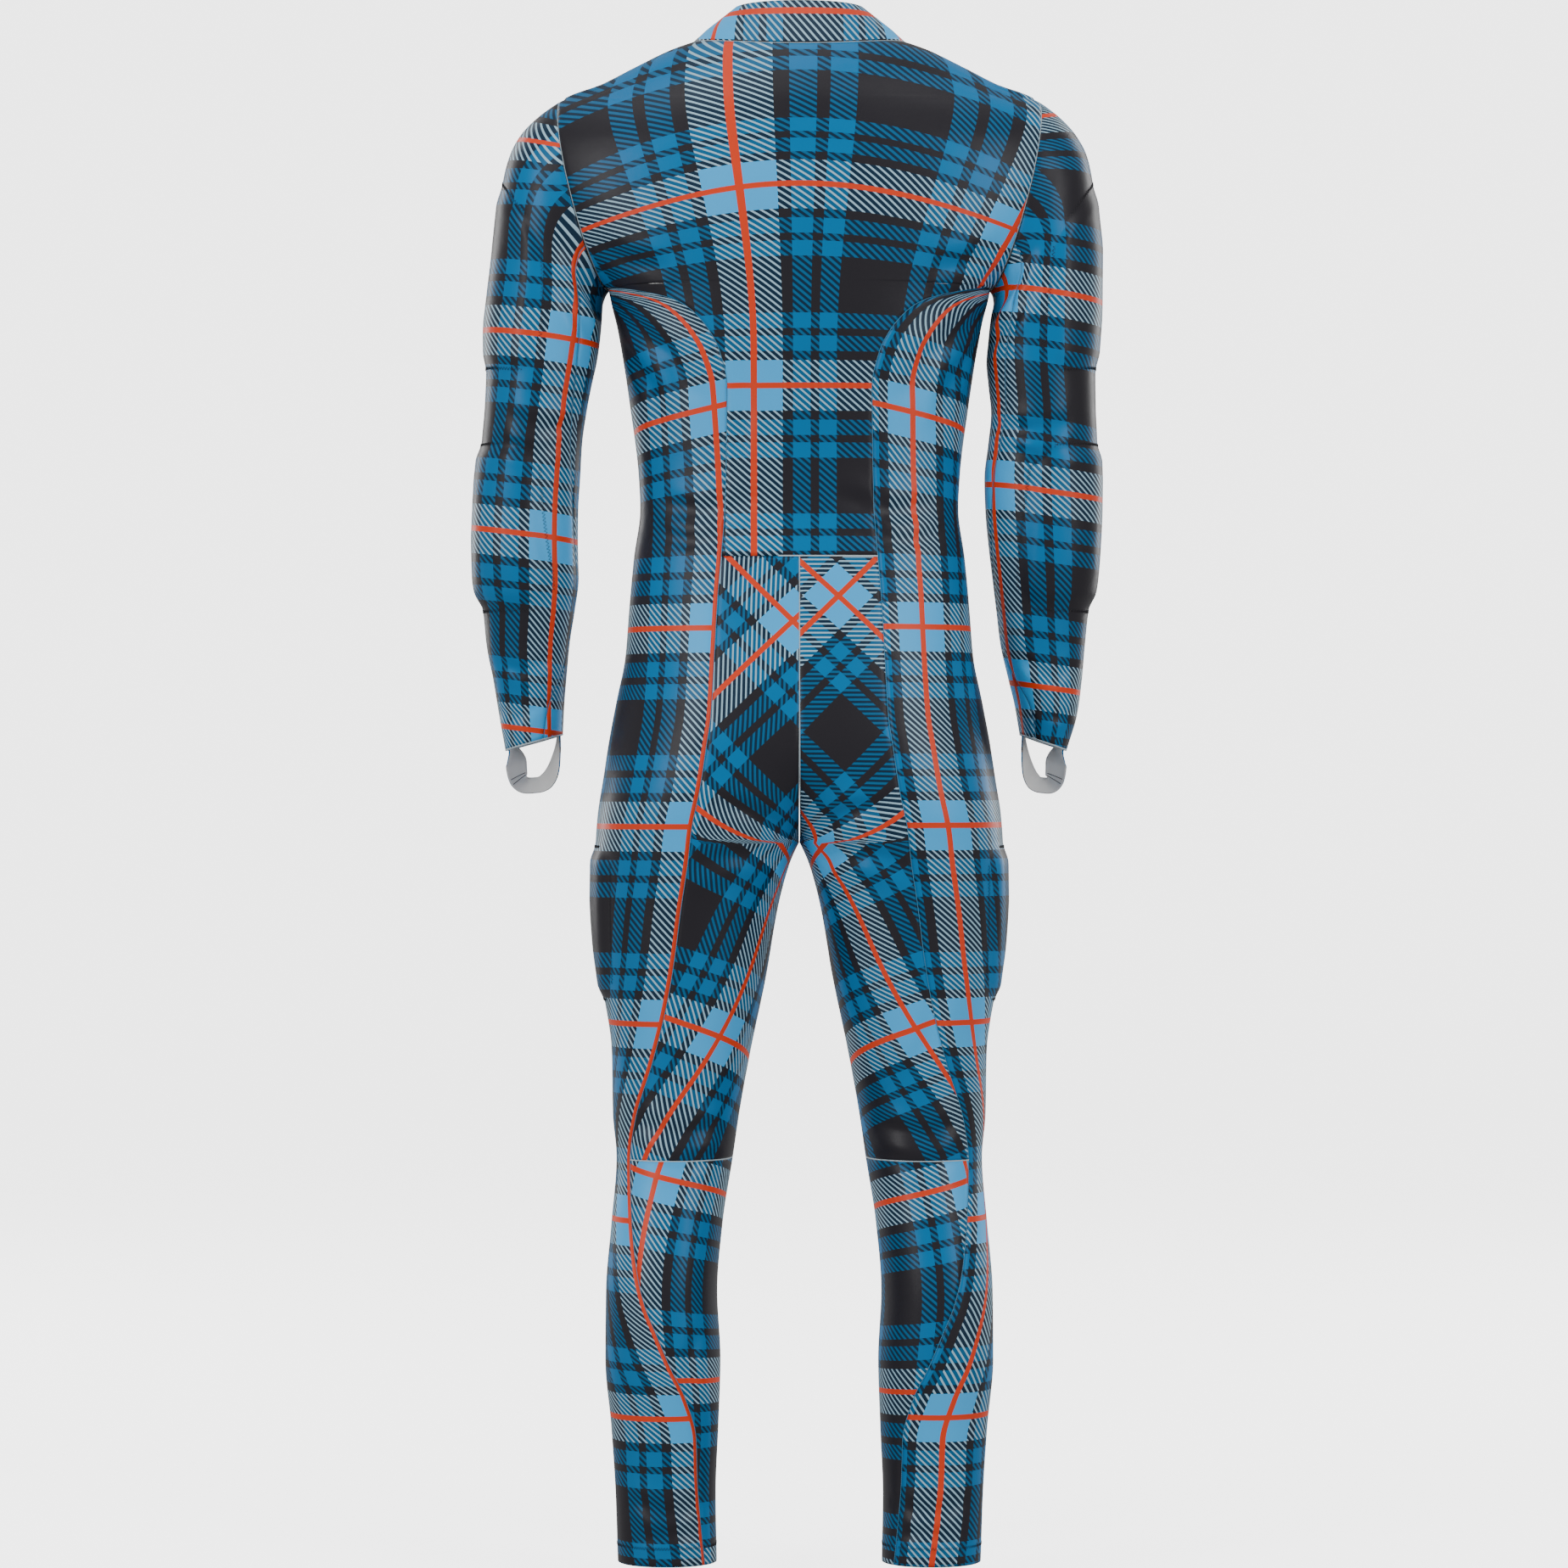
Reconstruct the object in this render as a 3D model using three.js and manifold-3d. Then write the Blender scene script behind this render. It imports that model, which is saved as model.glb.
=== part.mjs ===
// A padded one-piece ski race suit in the form it takes when worn: a close shell of printed stretch cloth,
// hollow and open at the neck, cuffs and ankles. Millimetres, +Z up. The front faces -Y and the wearer's left
// is +X. The origin lies inside the neck, level with the top of the shoulders, which hold the suit up.
import * as THREE from "three";
import Module from "manifold-3d";
import { mergeVertices } from "three/addons/utils/BufferGeometryUtils.js";

// Cloth and seams
const WALL = 1.8;
const SEAM_GAP = 0.36;
const SLEEVE_HALF_GAP = 0.22;
const ARMHOLE_GAP = 1;
const PAD_GAP = 0.3;
const PAD_EDGE = 1.2;
const PAD_FLATNESS = 3;

// Heights of the cross seams and ends
const COLLAR_TOP = 33;
const NECK_SEAM = 0;
const WAIST_SEAM = -487.5;
const CROTCH = -754;
const KNEE_SEAM = -1051;
const ANKLE_HEM = -1430;

// The armhole is an oval loop in an upright plane: its middle, half height, half depth and lean
const ARMHOLE = { x: 201.5, z: -145, rise: 89, lean: 21.5, depth: 66, bow: 13 };

// Front zip: the tape between the two fronts, its coil, and the slider that rides on the coil
const ZIP_BOTTOM = -575;
const ZIP_TAPE_HALF = 6;
const ZIP_TAPE_WALL = 1.4;
const COIL = { half: 2.4, shoulder: 0.6, height: 1.5 };
const SLIDER = { width: 8.4, length: 11, thick: 2.6, nose: 2, chamfer: 1, row: 24 };
const CROWN = { width: 2.4, length: 6.4, height: 2.8, bar: 1.1, sink: 0.4 };
const PULL = { width: 6.4, length: 24, thick: 1.5, holeWidth: 3.4, holeEnd: 4.7, tip: 1.6, barFaces: 24 };

// Hand loops: a strap sewn inside the cuff at both ends, hanging forward and below it round the palm. The
// powers square up its path.
const LOOP = {
  width: 20, thick: 1.2, clear: 1.6, drop: 40, forward: 24, tuck: 9, steps: 16, tilt: 0.8, bulge: 5,
  sidePower: 0.7, dropPower: 0.9, stride: 0.01,
};

// Rows of named numbers
const table = (columns, rows) =>
  rows.map((row) => Object.fromEntries(columns.map((name, i) => [name, row[i]])));

// Cross-sections from the collar to the ankles. half is the outer half width, inner the inner edge of one
// side's oval: -half where the body is a single oval, 0 at the crotch and positive on a leg. back and front
// are the depths reached, axis the depth of the side line, dips lower the middle of the back and the front.
const SECTIONS = table(
  ["z", "half", "inner", "back", "front", "axis", "backDip", "frontDip", "power"],
  [
    [33, 61, -61, 44, -62, -8, 0, 34, 2.05],
    [24, 72, -72, 51, -64, -6, 2, 41, 2.05],
    [12, 87, -87, 60, -67, -4, 6, 51, 2.05],
    [0, 101, -101, 69, -71, -2, 10, 60, 2.0],
    [-8, 122, -122, 75, -77, 0, 10, 57, 1.85],
    [-24, 155, -155, 85, -88, 1, 10, 48, 1.7],
    [-40, 186, -186, 93, -98, 2, 9, 38, 1.62],
    [-56, 223, -223, 99, -106, 2, 7, 28, 1.68],
    [-78, 223, -223, 103.5, -112, 2, 5, 19, 1.86],
    [-100, 222, -222, 107, -117, 2, 3, 12, 2.05],
    [-145, 210, -210, 110, -124, 2, 0, 3, 2.3],
    [-190, 197, -197, 108, -129, 2, 0, 0, 2.35],
    [-234, 180, -180, 103, -129, 2, 0, 0, 2.35],
    [-280, 169.5, -169.5, 95, -125, 1, 0, 0, 2.35],
    [-344, 159.5, -159.5, 81, -117, 0, 0, 0, 2.3],
    [-408, 151.5, -151.5, 71, -108, 0, 0, 0, 2.3],
    [-440, 150, -150, 69, -104, 0, 0, 0, 2.3],
    [-487, 156, -156, 76, -101, 0, 0, 0, 2.3],
    [-536, 160.5, -159.5, 91, -103, 0, 0, 0, 2.3],
    [-580, 164, -153, 103, -105, 0, 0, 0, 2.3],
    [-620, 172, -138, 112, -106, 0, 0, 0, 2.3],
    [-660, 179.5, -96, 116, -105, 0, 0, 0, 2.3],
    [-696, 185, -47, 114, -103, 0, 0, 0, 2.3],
    [-728, 190, -14, 108, -101, 0, 0, 0, 2.25],
    [-754, 192, 0, 101, -99, 0, 0, 0, 2.2],
    [-776, 193, 9.5, 96, -98, 0, 0, 0, 2.15],
    [-816, 192, 20, 88, -95, -1, 0, 0, 2.1],
    [-880, 187, 31, 78, -90, -3, 0, 0, 2.1],
    [-952, 177, 46, 66, -82, -6, 0, 0, 2.1],
    [-1010, 176, 56.5, 58, -73, -7, 0, 0, 2.1],
    [-1051, 172.5, 62.5, 56, -66, -5, 0, 0, 2.1],
    [-1112, 177, 72, 64, -58, 3, 0, 0, 2.1],
    [-1176, 182, 77, 72, -52, 9, 0, 0, 2.1],
    [-1240, 182.5, 74, 68, -46, 10, 0, 0, 2.1],
    [-1304, 177, 76, 56, -41, 7, 0, 0, 2.1],
    [-1368, 173, 78.5, 49, -39, 5, 0, 0, 2.1],
    [-1430, 171, 77.5, 47, -39, 4, 0, 0, 2.1],
  ],
);

// Seams that run down the back, as distances from the centre line: first round the back panel, then down the
// outside of the seat and thigh, then across the calf
const BACK_SEAM = table(
  ["z", "x"],
  [
    [-234, 177], [-237, 166], [-240.5, 151], [-244.5, 135], [-249.5, 119], [-257, 105], [-268, 93],
    [-281, 83], [-298, 74.5], [-330, 67.5], [-376, 68], [-440, 69.5], [-487.5, 73], [-524, 76],
    [-580, 79], [-636, 82], [-664, 86], [-704, 92], [-743, 100], [-770, 103], [-816, 110],
    [-862, 116], [-907, 124], [-958, 137], [-1014, 154], [-1051, 159], [-1105, 157], [-1151, 152],
    [-1184, 144], [-1211, 133], [-1242, 120], [-1272, 106], [-1311, 96], [-1350, 95], [-1390, 92],
    [-1430, 88],
  ],
);

// The seam between side and front, as distances from the centre line
const FRONT_SEAM = table(
  ["z", "x"],
  [
    [-234, 177], [-237, 168], [-240.5, 158], [-244.5, 149], [-249.5, 141], [-257, 134.5], [-268, 129],
    [-298, 121], [-376, 114], [-487.5, 113], [-580, 120], [-664, 134], [-754, 146], [-862, 148],
    [-958, 142], [-1051, 133], [-1105, 124], [-1184, 120], [-1430, 122],
  ],
);

// Stations down a sleeve. Each is an oval between an outer and an inner point: their heights, the inner and
// outer reach of the left and the right sleeve, the oval's half depth and its middle in depth. seam is the
// angle of the back seam of the under sleeve, from 0 at the outer line through 90 at the back.
const SLEEVE = table(
  ["outZ", "inZ", "outLeft", "inLeft", "outRight", "inRight", "depth", "y", "bow", "seam"],
  [
    [-56, -234, 223, 180, 223, 180, 66, 2, 13, 126],
    [-71, -238, 244, 183, 243, 183, 65, 2, 11, 126],
    [-88, -242, 261, 184.5, 259, 184, 64, 2, 9, 127],
    [-108, -246, 272, 185.5, 270, 184, 62.5, 2, 7, 127],
    [-134, -251, 279, 186, 276, 183, 61, 2, 5, 128],
    [-164, -258, 283, 186, 279.5, 181, 60, 1, 3, 129],
    [-200, -268, 286, 186.5, 282, 179.5, 59, 1, 1, 130],
    [-240, -283, 291, 188, 282, 178, 58, 0, 0, 132],
    [-278, -302, 295, 191, 281, 176.5, 56, -2, 0, 134],
    [-312, -324, 295.5, 196, 279.5, 178.5, 54, -4, 0, 137],
    [-344, -350, 297, 201, 280, 181, 52, -6, 0, 140],
    [-376, -378, 300, 205, 281.5, 178.5, 50, -9, 0, 144],
    [-410, -410, 302.5, 207, 282, 175, 49, -13, 0, 150],
    [-440, -440, 304.5, 209, 282, 176, 48, -17, 0, 156],
    [-472, -472, 306, 209.5, 281, 179, 47, -21, 0, 163],
    [-504, -504, 305.5, 209, 279, 183, 45.5, -26, 0, 170],
    [-536, -535, 300, 213, 274.5, 187, 42, -31, 0, 173],
    [-568, -566, 297, 218, 271.5, 191, 38, -36, 0, 170],
    [-600, -596, 291, 221, 269, 198, 34.5, -41, 0, 150],
    [-632, -624, 286, 223.5, 265, 205, 31.5, -46, 0, 124],
    [-667, -652, 280, 225, 255, 210, 29, -50, 0, 112],
  ],
);
const UNDER_SEAM_FRONT = 210;

// How many faces wide each piece is
const COLUMNS = { back: 6, side: 6, front: 6, upperSleeve: 13, underSleeve: 4 };

// Pads under the cloth, as ranges of a panel's rows and columns, with the height that they lift the cloth
const PADS = table(
  ["name", "panel", "row0", "row1", "column0", "column1", "height"],
  [
    ["upper_arm_pad", "upper_sleeve", 4, 9, 2, 8, 4],
    ["forearm_pad", "upper_sleeve", 11, 16, 2, 8, 6],
    ["thigh_pad", "side", 27, 32, 2, 6, 5],
    ["shin_pad", "side", 36, 39, 3, 6, 6],
  ],
);

// A smooth curve through a column of a table, with no overshoot between its rows
function curve(rows, key, value) {
  const points = rows.map((row) => [row[key], row[value]]).sort((a, b) => a[0] - b[0]);
  const slopes = points.slice(1).map((p, i) => (p[1] - points[i][1]) / (p[0] - points[i][0]));
  const tangents = points.map((p, i) => {
    if (i === 0) return slopes[0];
    if (i === points.length - 1) return slopes[i - 1];
    const before = slopes[i - 1];
    const after = slopes[i];
    return before * after <= 0 ? 0 : (2 * before * after) / (before + after);
  });
  return (at) => {
    const last = points.length - 2;
    let i = points.findIndex((p, k) => k > 0 && at <= p[0]) - 1;
    if (i < 0) i = at <= points[0][0] ? 0 : last;
    const span = points[i + 1][0] - points[i][0];
    const t = Math.min(1, Math.max(0, (at - points[i][0]) / span));
    const h1 = (1 + 2 * t) * (1 - t) ** 2;
    const h2 = t * (1 - t) ** 2 * span;
    const h3 = t * t * (3 - 2 * t);
    const h4 = t * t * (t - 1) * span;
    return h1 * points[i][1] + h2 * tangents[i] + h3 * points[i + 1][1] + h4 * tangents[i + 1];
  };
}

const at = Object.fromEntries(
  Object.keys(SECTIONS[0]).filter((name) => name !== "z").map((name) => [name, curve(SECTIONS, "z", name)]),
);
const backSeamX = curve(BACK_SEAM, "z", "x");
const frontSeamX = curve(FRONT_SEAM, "z", "x");

// Where the armhole's loop crosses a height: its distance from the centre line and its depth
function armholeEdge(z, isBack) {
  const c = (z - ARMHOLE.z) / ARMHOLE.rise;
  if (Math.abs(c) >= 1) return null;
  const s = Math.sqrt(1 - c * c);
  return {
    x: ARMHOLE.x + ARMHOLE.lean * c + (isBack ? 1 : -1) * ARMHOLE.bow * s,
    reach: ARMHOLE.depth * s,
  };
}

// The oval of one side at a height: its middle, half width, half depth, power and where its arc starts
function oval(z, isBack) {
  const power = at.power(z);
  const depth = isBack ? at.back(z) - at.axis(z) : at.axis(z) - at.front(z);
  const edge = armholeEdge(z, isBack);
  let half = at.half(z);
  let inner = at.inner(z);
  if (edge) {
    half = edge.x / (1 - (edge.reach / depth) ** power) ** (1 / power);
    inner = -half;
  }
  const middle = (half + inner) / 2;
  const width = (half - inner) / 2;
  const cos = Math.min(1, Math.max(0, middle / width));
  const sin = (1 - cos ** power) ** (1 / power);
  const start = inner >= 0 ? 0 : Math.atan2(sin, cos);
  return { middle, width, depth, power, start, edge };
}

// A point of the outer face. p runs from 0 at the centre back round the left side to 2 at the centre front,
// and from 0 to -2 round the right side. On a leg 0 and 2 are both the inside of the leg.
function bodyPoint(p, z) {
  const round = Math.abs(p);
  const isBack = round <= 1;
  const q = isBack ? round : 2 - round;
  const { middle, width, depth, power, start, edge } = oval(z, isBack);
  const angle = start + (Math.PI - start) * q;
  const c = Math.cos(angle);
  const s = Math.sin(angle);
  const scale = (Math.abs(c) ** power + Math.abs(s) ** power) ** (-1 / power);
  const x = middle - width * c * scale;
  const y = at.axis(z) + (isBack ? 1 : -1) * depth * s * scale;
  const level = 1 - (x / (edge ? edge.x : at.half(z))) ** 2;
  const dip = (isBack ? at.backDip(z) : at.frontDip(z)) * level;
  return new THREE.Vector3(p < 0 ? -x : x, y, z - dip);
}

// The p at which a height's outline reaches a distance x from the centre line
function roundAt(x, z, isBack) {
  const { middle, width, power, start } = oval(z, isBack);
  const c = Math.max(-1, Math.min(1, (middle - x) / width));
  const s = (1 - Math.abs(c) ** power) ** (1 / power);
  const q = Math.max(0, (Math.atan2(s, c) - start) / (Math.PI - start));
  return isBack ? q : 2 - q;
}

// The steps used to take slopes, in p and in height
const NUDGE = 0.004;
const HEIGHT_NUDGE = 0.4;

function normalOf(point, u, v, low, high) {
  const u0 = Math.max(low, u - NUDGE);
  const u1 = Math.min(high, u + NUDGE);
  const along = point(u1, v).sub(point(u0, v));
  const up = point(u, v + HEIGHT_NUDGE).sub(point(u, v - HEIGHT_NUDGE));
  return up.cross(along).normalize();
}

const bodyNormal = (p, z) =>
  p >= 0 ? normalOf(bodyPoint, p, z, 0, 2) : normalOf(bodyPoint, p, z, -2, 0);

// Half the seam's gap, as a step in p, wider where the seam slants and where it turns in under the arm
const SLANT_SPAN = 3;
const BELOW_ARMPIT = -242;
const ARMPIT_EASE = 5.6;

function gapInP(edge, z) {
  const p = edge(z);
  const speed = bodyPoint(Math.min(2, p + NUDGE), z).distanceTo(bodyPoint(p - NUDGE, z)) / (2 * NUDGE);
  const slant = ((edge(z + SLANT_SPAN) - edge(z - SLANT_SPAN)) / (2 * SLANT_SPAN)) * speed;
  const ease = z > BELOW_ARMPIT ? ARMPIT_EASE : 1;
  return ((SEAM_GAP / 2) * ease * Math.hypot(1, slant)) / speed;
}

// The armhole edge, in p, on the back and on the front, and the ridge of the shoulder above it
function sideEdge(z, isBack) {
  const edge = armholeEdge(z, isBack);
  return edge ? roundAt(edge.x, z, isBack) : 1;
}

// Heights of the rows of points. The armhole's rows are even steps round its loop.
const ARMHOLE_STEPS = 12;
const armholeRows = Array.from(
  { length: ARMHOLE_STEPS + 1 },
  (_, i) => ARMHOLE.z + ARMHOLE.rise * Math.cos((Math.PI * i) / ARMHOLE_STEPS),
);
const SHOULDER_ROWS = [NECK_SEAM, -8, -20, -32, -44];
const CHEST_ROWS = [
  -237, -240.5, -244.5, -249.5, -257, -268, -281, -298, -325, -362, -403, -440, -466, WAIST_SEAM,
];
const HIP_ROWS = [-515, -545, ZIP_BOTTOM, -579, -605, -633, -660, -684, -704, -720, -733, -744, CROTCH];
const THIGH_ROWS = [-768, -792, -826, -866, -906, -946, -984, -1020, KNEE_SEAM];
const CALF_ROWS = [-1086, -1120, -1150, -1180, -1212, -1250, -1300, -1360, ANKLE_HEM];

// Moves the first and last row of a piece half a gap into the piece
const seamRows = (rows, topGap, bottomGap) =>
  rows.map((z, i) => {
    if (i === 0 && topGap) return z - SEAM_GAP / 2;
    if (i === rows.length - 1 && bottomGap) return z + SEAM_GAP / 2;
    return z;
  });

// Even steps from one p to another
const steps = (from, to, columns) =>
  Array.from({ length: columns + 1 }, (_, i) => from + ((to - from) * i) / columns);

// Points of the outer face with their normals: a row for each height, at the p values listed for it
const bodyGrid = (rows, listP) =>
  rows.map((z) => listP(z).map((p) => ({ outer: bodyPoint(p, z), normal: bodyNormal(p, z) })));

// The grid between two edges, given as p at each height
const panelGrid = (rows, from, to, columns) => bodyGrid(rows, (z) => steps(from(z), to(z), columns));

// Has the cells at a pad's corners split across the corner, in the panel as in the pad that lies on it
function splitCorners(part) {
  const lastRow = part.length - 2;
  const lastColumn = part[0].length - 2;
  part[0][0].risesRight = true;
  part[lastRow][lastColumn].risesRight = true;
  part[0][lastColumn].risesRight = false;
  part[lastRow][0].risesRight = false;
}

// The triangles of a sheet of points, each cell split along its shorter diagonal unless it is marked.
// hasCutCorners leaves out the sheet's four corner points.
function triangulate(grid, hasCutCorners) {
  const rows = grid.length;
  const columns = grid[0].length;
  const isCut = (r, c) => hasCutCorners && (r === 0 || r === rows - 1) && (c === 0 || c === columns - 1);
  const apart = (p, q) => grid[p.r][p.c].outer.distanceTo(grid[q.r][q.c].outer);
  const triangles = [];
  for (let r = 0; r < rows - 1; r += 1) {
    for (let c = 0; c < columns - 1; c += 1) {
      const ring = [{ r, c }, { r, c: c + 1 }, { r: r + 1, c: c + 1 }, { r: r + 1, c }];
      const kept = ring.filter((p) => !isCut(p.r, p.c));
      const [p0, p1, p2, p3] = kept;
      const risesRight = grid[r][c].risesRight;
      if (kept.length === 3) triangles.push(kept);
      else if (risesRight ?? apart(p1, p3) < apart(p0, p2)) triangles.push([p0, p1, p3], [p1, p2, p3]);
      else triangles.push([p0, p1, p2], [p0, p2, p3]);
    }
  }
  return triangles.map((triangle) => triangle.map((p) => p.r * columns + p.c));
}

// Closes a sheet of points into one solid. depthIn moves the points in and liftOut out along their normals.
function shell(grid, depthIn, liftOut = () => 0, hasCutCorners = false) {
  const columns = grid[0].length;
  const positions = [];
  const index = new Map();
  const corner = (point, isOuter) => {
    const key = point * 2 + (isOuter ? 1 : 0);
    if (!index.has(key)) {
      const [r, c] = [Math.floor(point / columns), point % columns];
      const { outer, normal } = grid[r][c];
      const shift = isOuter ? liftOut(r, c) : -depthIn(r, c);
      index.set(key, positions.length / 3);
      positions.push(...outer.clone().addScaledVector(normal, shift).toArray());
    }
    return index.get(key);
  };
  const triangles = triangulate(grid, hasCutCorners);
  const edges = triangles.flatMap(([a, b, c]) => [[a, b], [b, c], [c, a]]);
  const known = new Set(edges.map(([a, b]) => a + "," + b));
  const faces = [];
  for (const [a, b, c] of triangles) {
    faces.push(corner(a, true), corner(b, true), corner(c, true));
    faces.push(corner(c, false), corner(b, false), corner(a, false));
  }
  for (const [a, b] of edges) {
    if (known.has(b + "," + a)) continue;
    faces.push(corner(b, true), corner(a, true), corner(a, false));
    faces.push(corner(b, true), corner(a, false), corner(b, false));
  }
  const geometry = new THREE.BufferGeometry();
  geometry.setAttribute("position", new THREE.Float32BufferAttribute(positions, 3));
  geometry.setIndex(faces);
  geometry.computeVertexNormals();
  return geometry;
}

// The same sheet on the wearer's right, its columns reversed so that its faces still point out
const mirrored = (grid) =>
  grid.map((row) =>
    row
      .map(({ outer, normal }) => ({
        outer: new THREE.Vector3(-outer.x, outer.y, outer.z),
        normal: new THREE.Vector3(-normal.x, normal.y, normal.z),
      }))
      .reverse(),
  );

// A point of a sleeve, drawn on the left: angle is 0 on the outer line and 90 at the back, and station counts
// down the arm
const SLEEVE_STATIONS = SLEEVE.map((row, i) => ({ ...row, station: i }));
const sleeveCurve = Object.fromEntries(
  Object.keys(SLEEVE[0]).map((name) => [name, curve(SLEEVE_STATIONS, "station", name)]),
);

function sleevePoint(side, angle, station) {
  const value = (name) => sleeveCurve[name](station);
  const out = value(side === "left" ? "outLeft" : "outRight");
  const inner = value(side === "left" ? "inLeft" : "inRight");
  const c = Math.cos(THREE.MathUtils.degToRad(angle));
  const s = Math.sin(THREE.MathUtils.degToRad(angle));
  return new THREE.Vector3(
    (out + inner) / 2 + ((out - inner) / 2) * c + value("bow") * s,
    value("y") + value("depth") * s,
    (value("outZ") + value("inZ")) / 2 + ((value("outZ") - value("inZ")) / 2) * c,
  );
}

const SLEEVE_STEP = { station: 0.05, angle: 0.5 };

function sleeveNormal(side, angle, station) {
  const s0 = Math.max(0, station - SLEEVE_STEP.station);
  const s1 = Math.min(SLEEVE.length - 1, station + SLEEVE_STEP.station);
  const down = sleevePoint(side, angle, s1).sub(sleevePoint(side, angle, s0));
  const before = sleevePoint(side, angle - SLEEVE_STEP.angle, station);
  const round = sleevePoint(side, angle + SLEEVE_STEP.angle, station).sub(before);
  return down.cross(round).normalize();
}

// Outer points of a sleeve piece between two edges, given as angles at each station
function sleeveGrid(side, from, to, columns) {
  return SLEEVE.map((_, station) => {
    const gap = THREE.MathUtils.radToDeg(SLEEVE_HALF_GAP / sleeveCurve.depth(station));
    const a = from(station) + gap;
    const b = to(station) - gap;
    return Array.from({ length: columns + 1 }, (_, i) => {
      const angle = a + ((b - a) * i) / columns;
      const outer = sleevePoint(side, angle, station);
      const normal = sleeveNormal(side, angle, station);
      if (station === 0) {
        outer.x += ARMHOLE_GAP;
        return { outer, normal: mitre(normal, armholeNormal(angle)) };
      }
      return { outer, normal };
    }).reverse();
  });
}

// The torso's normal at an angle round the armhole, kept just inside the loop's top and bottom
const INSIDE_LOOP = 0.999;

function armholeNormal(angle) {
  const radians = THREE.MathUtils.degToRad(angle);
  const c = THREE.MathUtils.clamp(Math.cos(radians), -INSIDE_LOOP, INSIDE_LOOP);
  const z = ARMHOLE.z + ARMHOLE.rise * c;
  return bodyNormal(sideEdge(z, Math.sin(radians) >= 0), z);
}

// Where two walls run on from one another their edges meet on a shared mitre, and where they fold apart each
// edge stays square to its own wall. MITRE holds the agreement of normals from which they share it, in part
// and in full.
const MITRE = { none: 0.3, full: 0.7 };

function mitre(own, other) {
  const share = THREE.MathUtils.clamp((own.dot(other) - MITRE.none) / (MITRE.full - MITRE.none), 0, 1);
  return own.clone().addScaledVector(other, share).normalize();
}

// Turns the torso's edge normals onto the mitre, along one column of the armhole's rows
function mitreArmhole(grid, column, isBack) {
  armholeRows.forEach((z, i) => {
    const angle = (isBack ? 180 : -180) * (i / ARMHOLE_STEPS);
    const corner = grid[SHOULDER_ROWS.length + i][column];
    const isRight = corner.outer.x < 0;
    const sleeve = sleeveNormal("left", angle, 0);
    if (isRight) sleeve.x *= -1;
    corner.normal = mitre(corner.normal, sleeve);
  });
}

const group = new THREE.Group();
const PRINT = { color: "#2a5e7e", roughness: 0.42, metalness: 0 };
const GREY_CLOTH = { color: "#c8c8c8", roughness: 0.8, metalness: 0 };
const PAD_COVER = { color: "#3b3a42", roughness: 0.5, metalness: 0 };
const NYLON = { color: "#1d1d20", roughness: 0.45, metalness: 0 };
const ZINC = { color: "#2b2b2e", roughness: 0.35, metalness: 0.8 };

function add(name, geometry, look, parent = group) {
  const mesh = new THREE.Mesh(geometry, new THREE.MeshStandardMaterial(look));
  mesh.name = name;
  parent.add(mesh);
}

const wall = () => WALL;
const ARMPIT = armholeRows[ARMHOLE_STEPS];
const SHOULDER_TIP = armholeRows[0];
const backEdge = (z) => roundAt(backSeamX(z), z, true);
const frontEdge = (z) => roundAt(frontSeamX(z), z, false);
const besideZip = (z) => roundAt(ZIP_TAPE_HALF + SEAM_GAP / 2, z, false);

// Half a gap, as a step in p, beside a seam that runs straight up the middle or the side
function straightGap(p, z) {
  const step = p > 1.5 ? -NUDGE : NUDGE;
  return ((SEAM_GAP / 2) * NUDGE) / bodyPoint(p + step, z).distanceTo(bodyPoint(p, z));
}

// The outer edges of back and front: the ridge of the shoulder, the armhole, then the seam to the side piece
function outerEdge(z, isBack) {
  const seam = isBack ? backEdge : frontEdge;
  const toPanel = isBack ? -1 : 1;
  if (z <= ARMPIT + 0.01) return seam(z) + toPanel * gapInP(seam, z);
  if (z >= SHOULDER_TIP - 0.01) return 1 + toPanel * straightGap(1, z);
  return sideEdge(z, isBack);
}

const backLimit = (z) => outerEdge(z, true);
const frontLimit = (z) => outerEdge(z, false);
const innerLimit = (z) => straightGap(0, z);
const centreFront = (z) => (z >= ZIP_BOTTOM ? besideZip(z) : 2 - straightGap(2, z));
const backLegLimit = (z) => backEdge(z) - gapInP(backEdge, z);

// Back: one piece from the neck to the waist seam, cut narrow below the armholes
const torsoRows = [...SHOULDER_ROWS, ...armholeRows, ...CHEST_ROWS];
const legRows = [...HIP_ROWS, ...THIGH_ROWS, ...CALF_ROWS];
const backRows = seamRows(torsoRows, true, true);
const backColumns = 2 * COLUMNS.back;
const backGrid = panelGrid(backRows, (z) => -backLimit(z), backLimit, backColumns);
mitreArmhole(backGrid, 0, true);
mitreArmhole(backGrid, backColumns, true);
add("back", shell(backGrid, wall), PRINT);

// Fronts: from the shoulder and neck down the front of the leg to the ankle, parted by the zip
const frontRows = seamRows([...torsoRows, ...legRows], true, false);
const frontGrid = panelGrid(frontRows, frontLimit, centreFront, COLUMNS.front);
mitreArmhole(frontGrid, 0, false);

// Sides: from the armhole down the outside of the leg to the ankle
const sideGrid = panelGrid(
  [ARMPIT, ...CHEST_ROWS, ...legRows],
  (z) => backEdge(z) + gapInP(backEdge, z),
  (z) => frontEdge(z) - gapInP(frontEdge, z),
  COLUMNS.side,
);

// Seat and back of the thigh in one piece, from the waist seam to the knee seam
const backLegRows = seamRows([WAIST_SEAM, ...HIP_ROWS, ...THIGH_ROWS], true, true);
const backLegGrid = panelGrid(backLegRows, innerLimit, backLegLimit, COLUMNS.back);

// Calf, from the knee seam to the ankle
const calfRows = seamRows([KNEE_SEAM, ...CALF_ROWS], true, false);
const calfGrid = panelGrid(calfRows, innerLimit, backLegLimit, COLUMNS.back);

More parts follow.
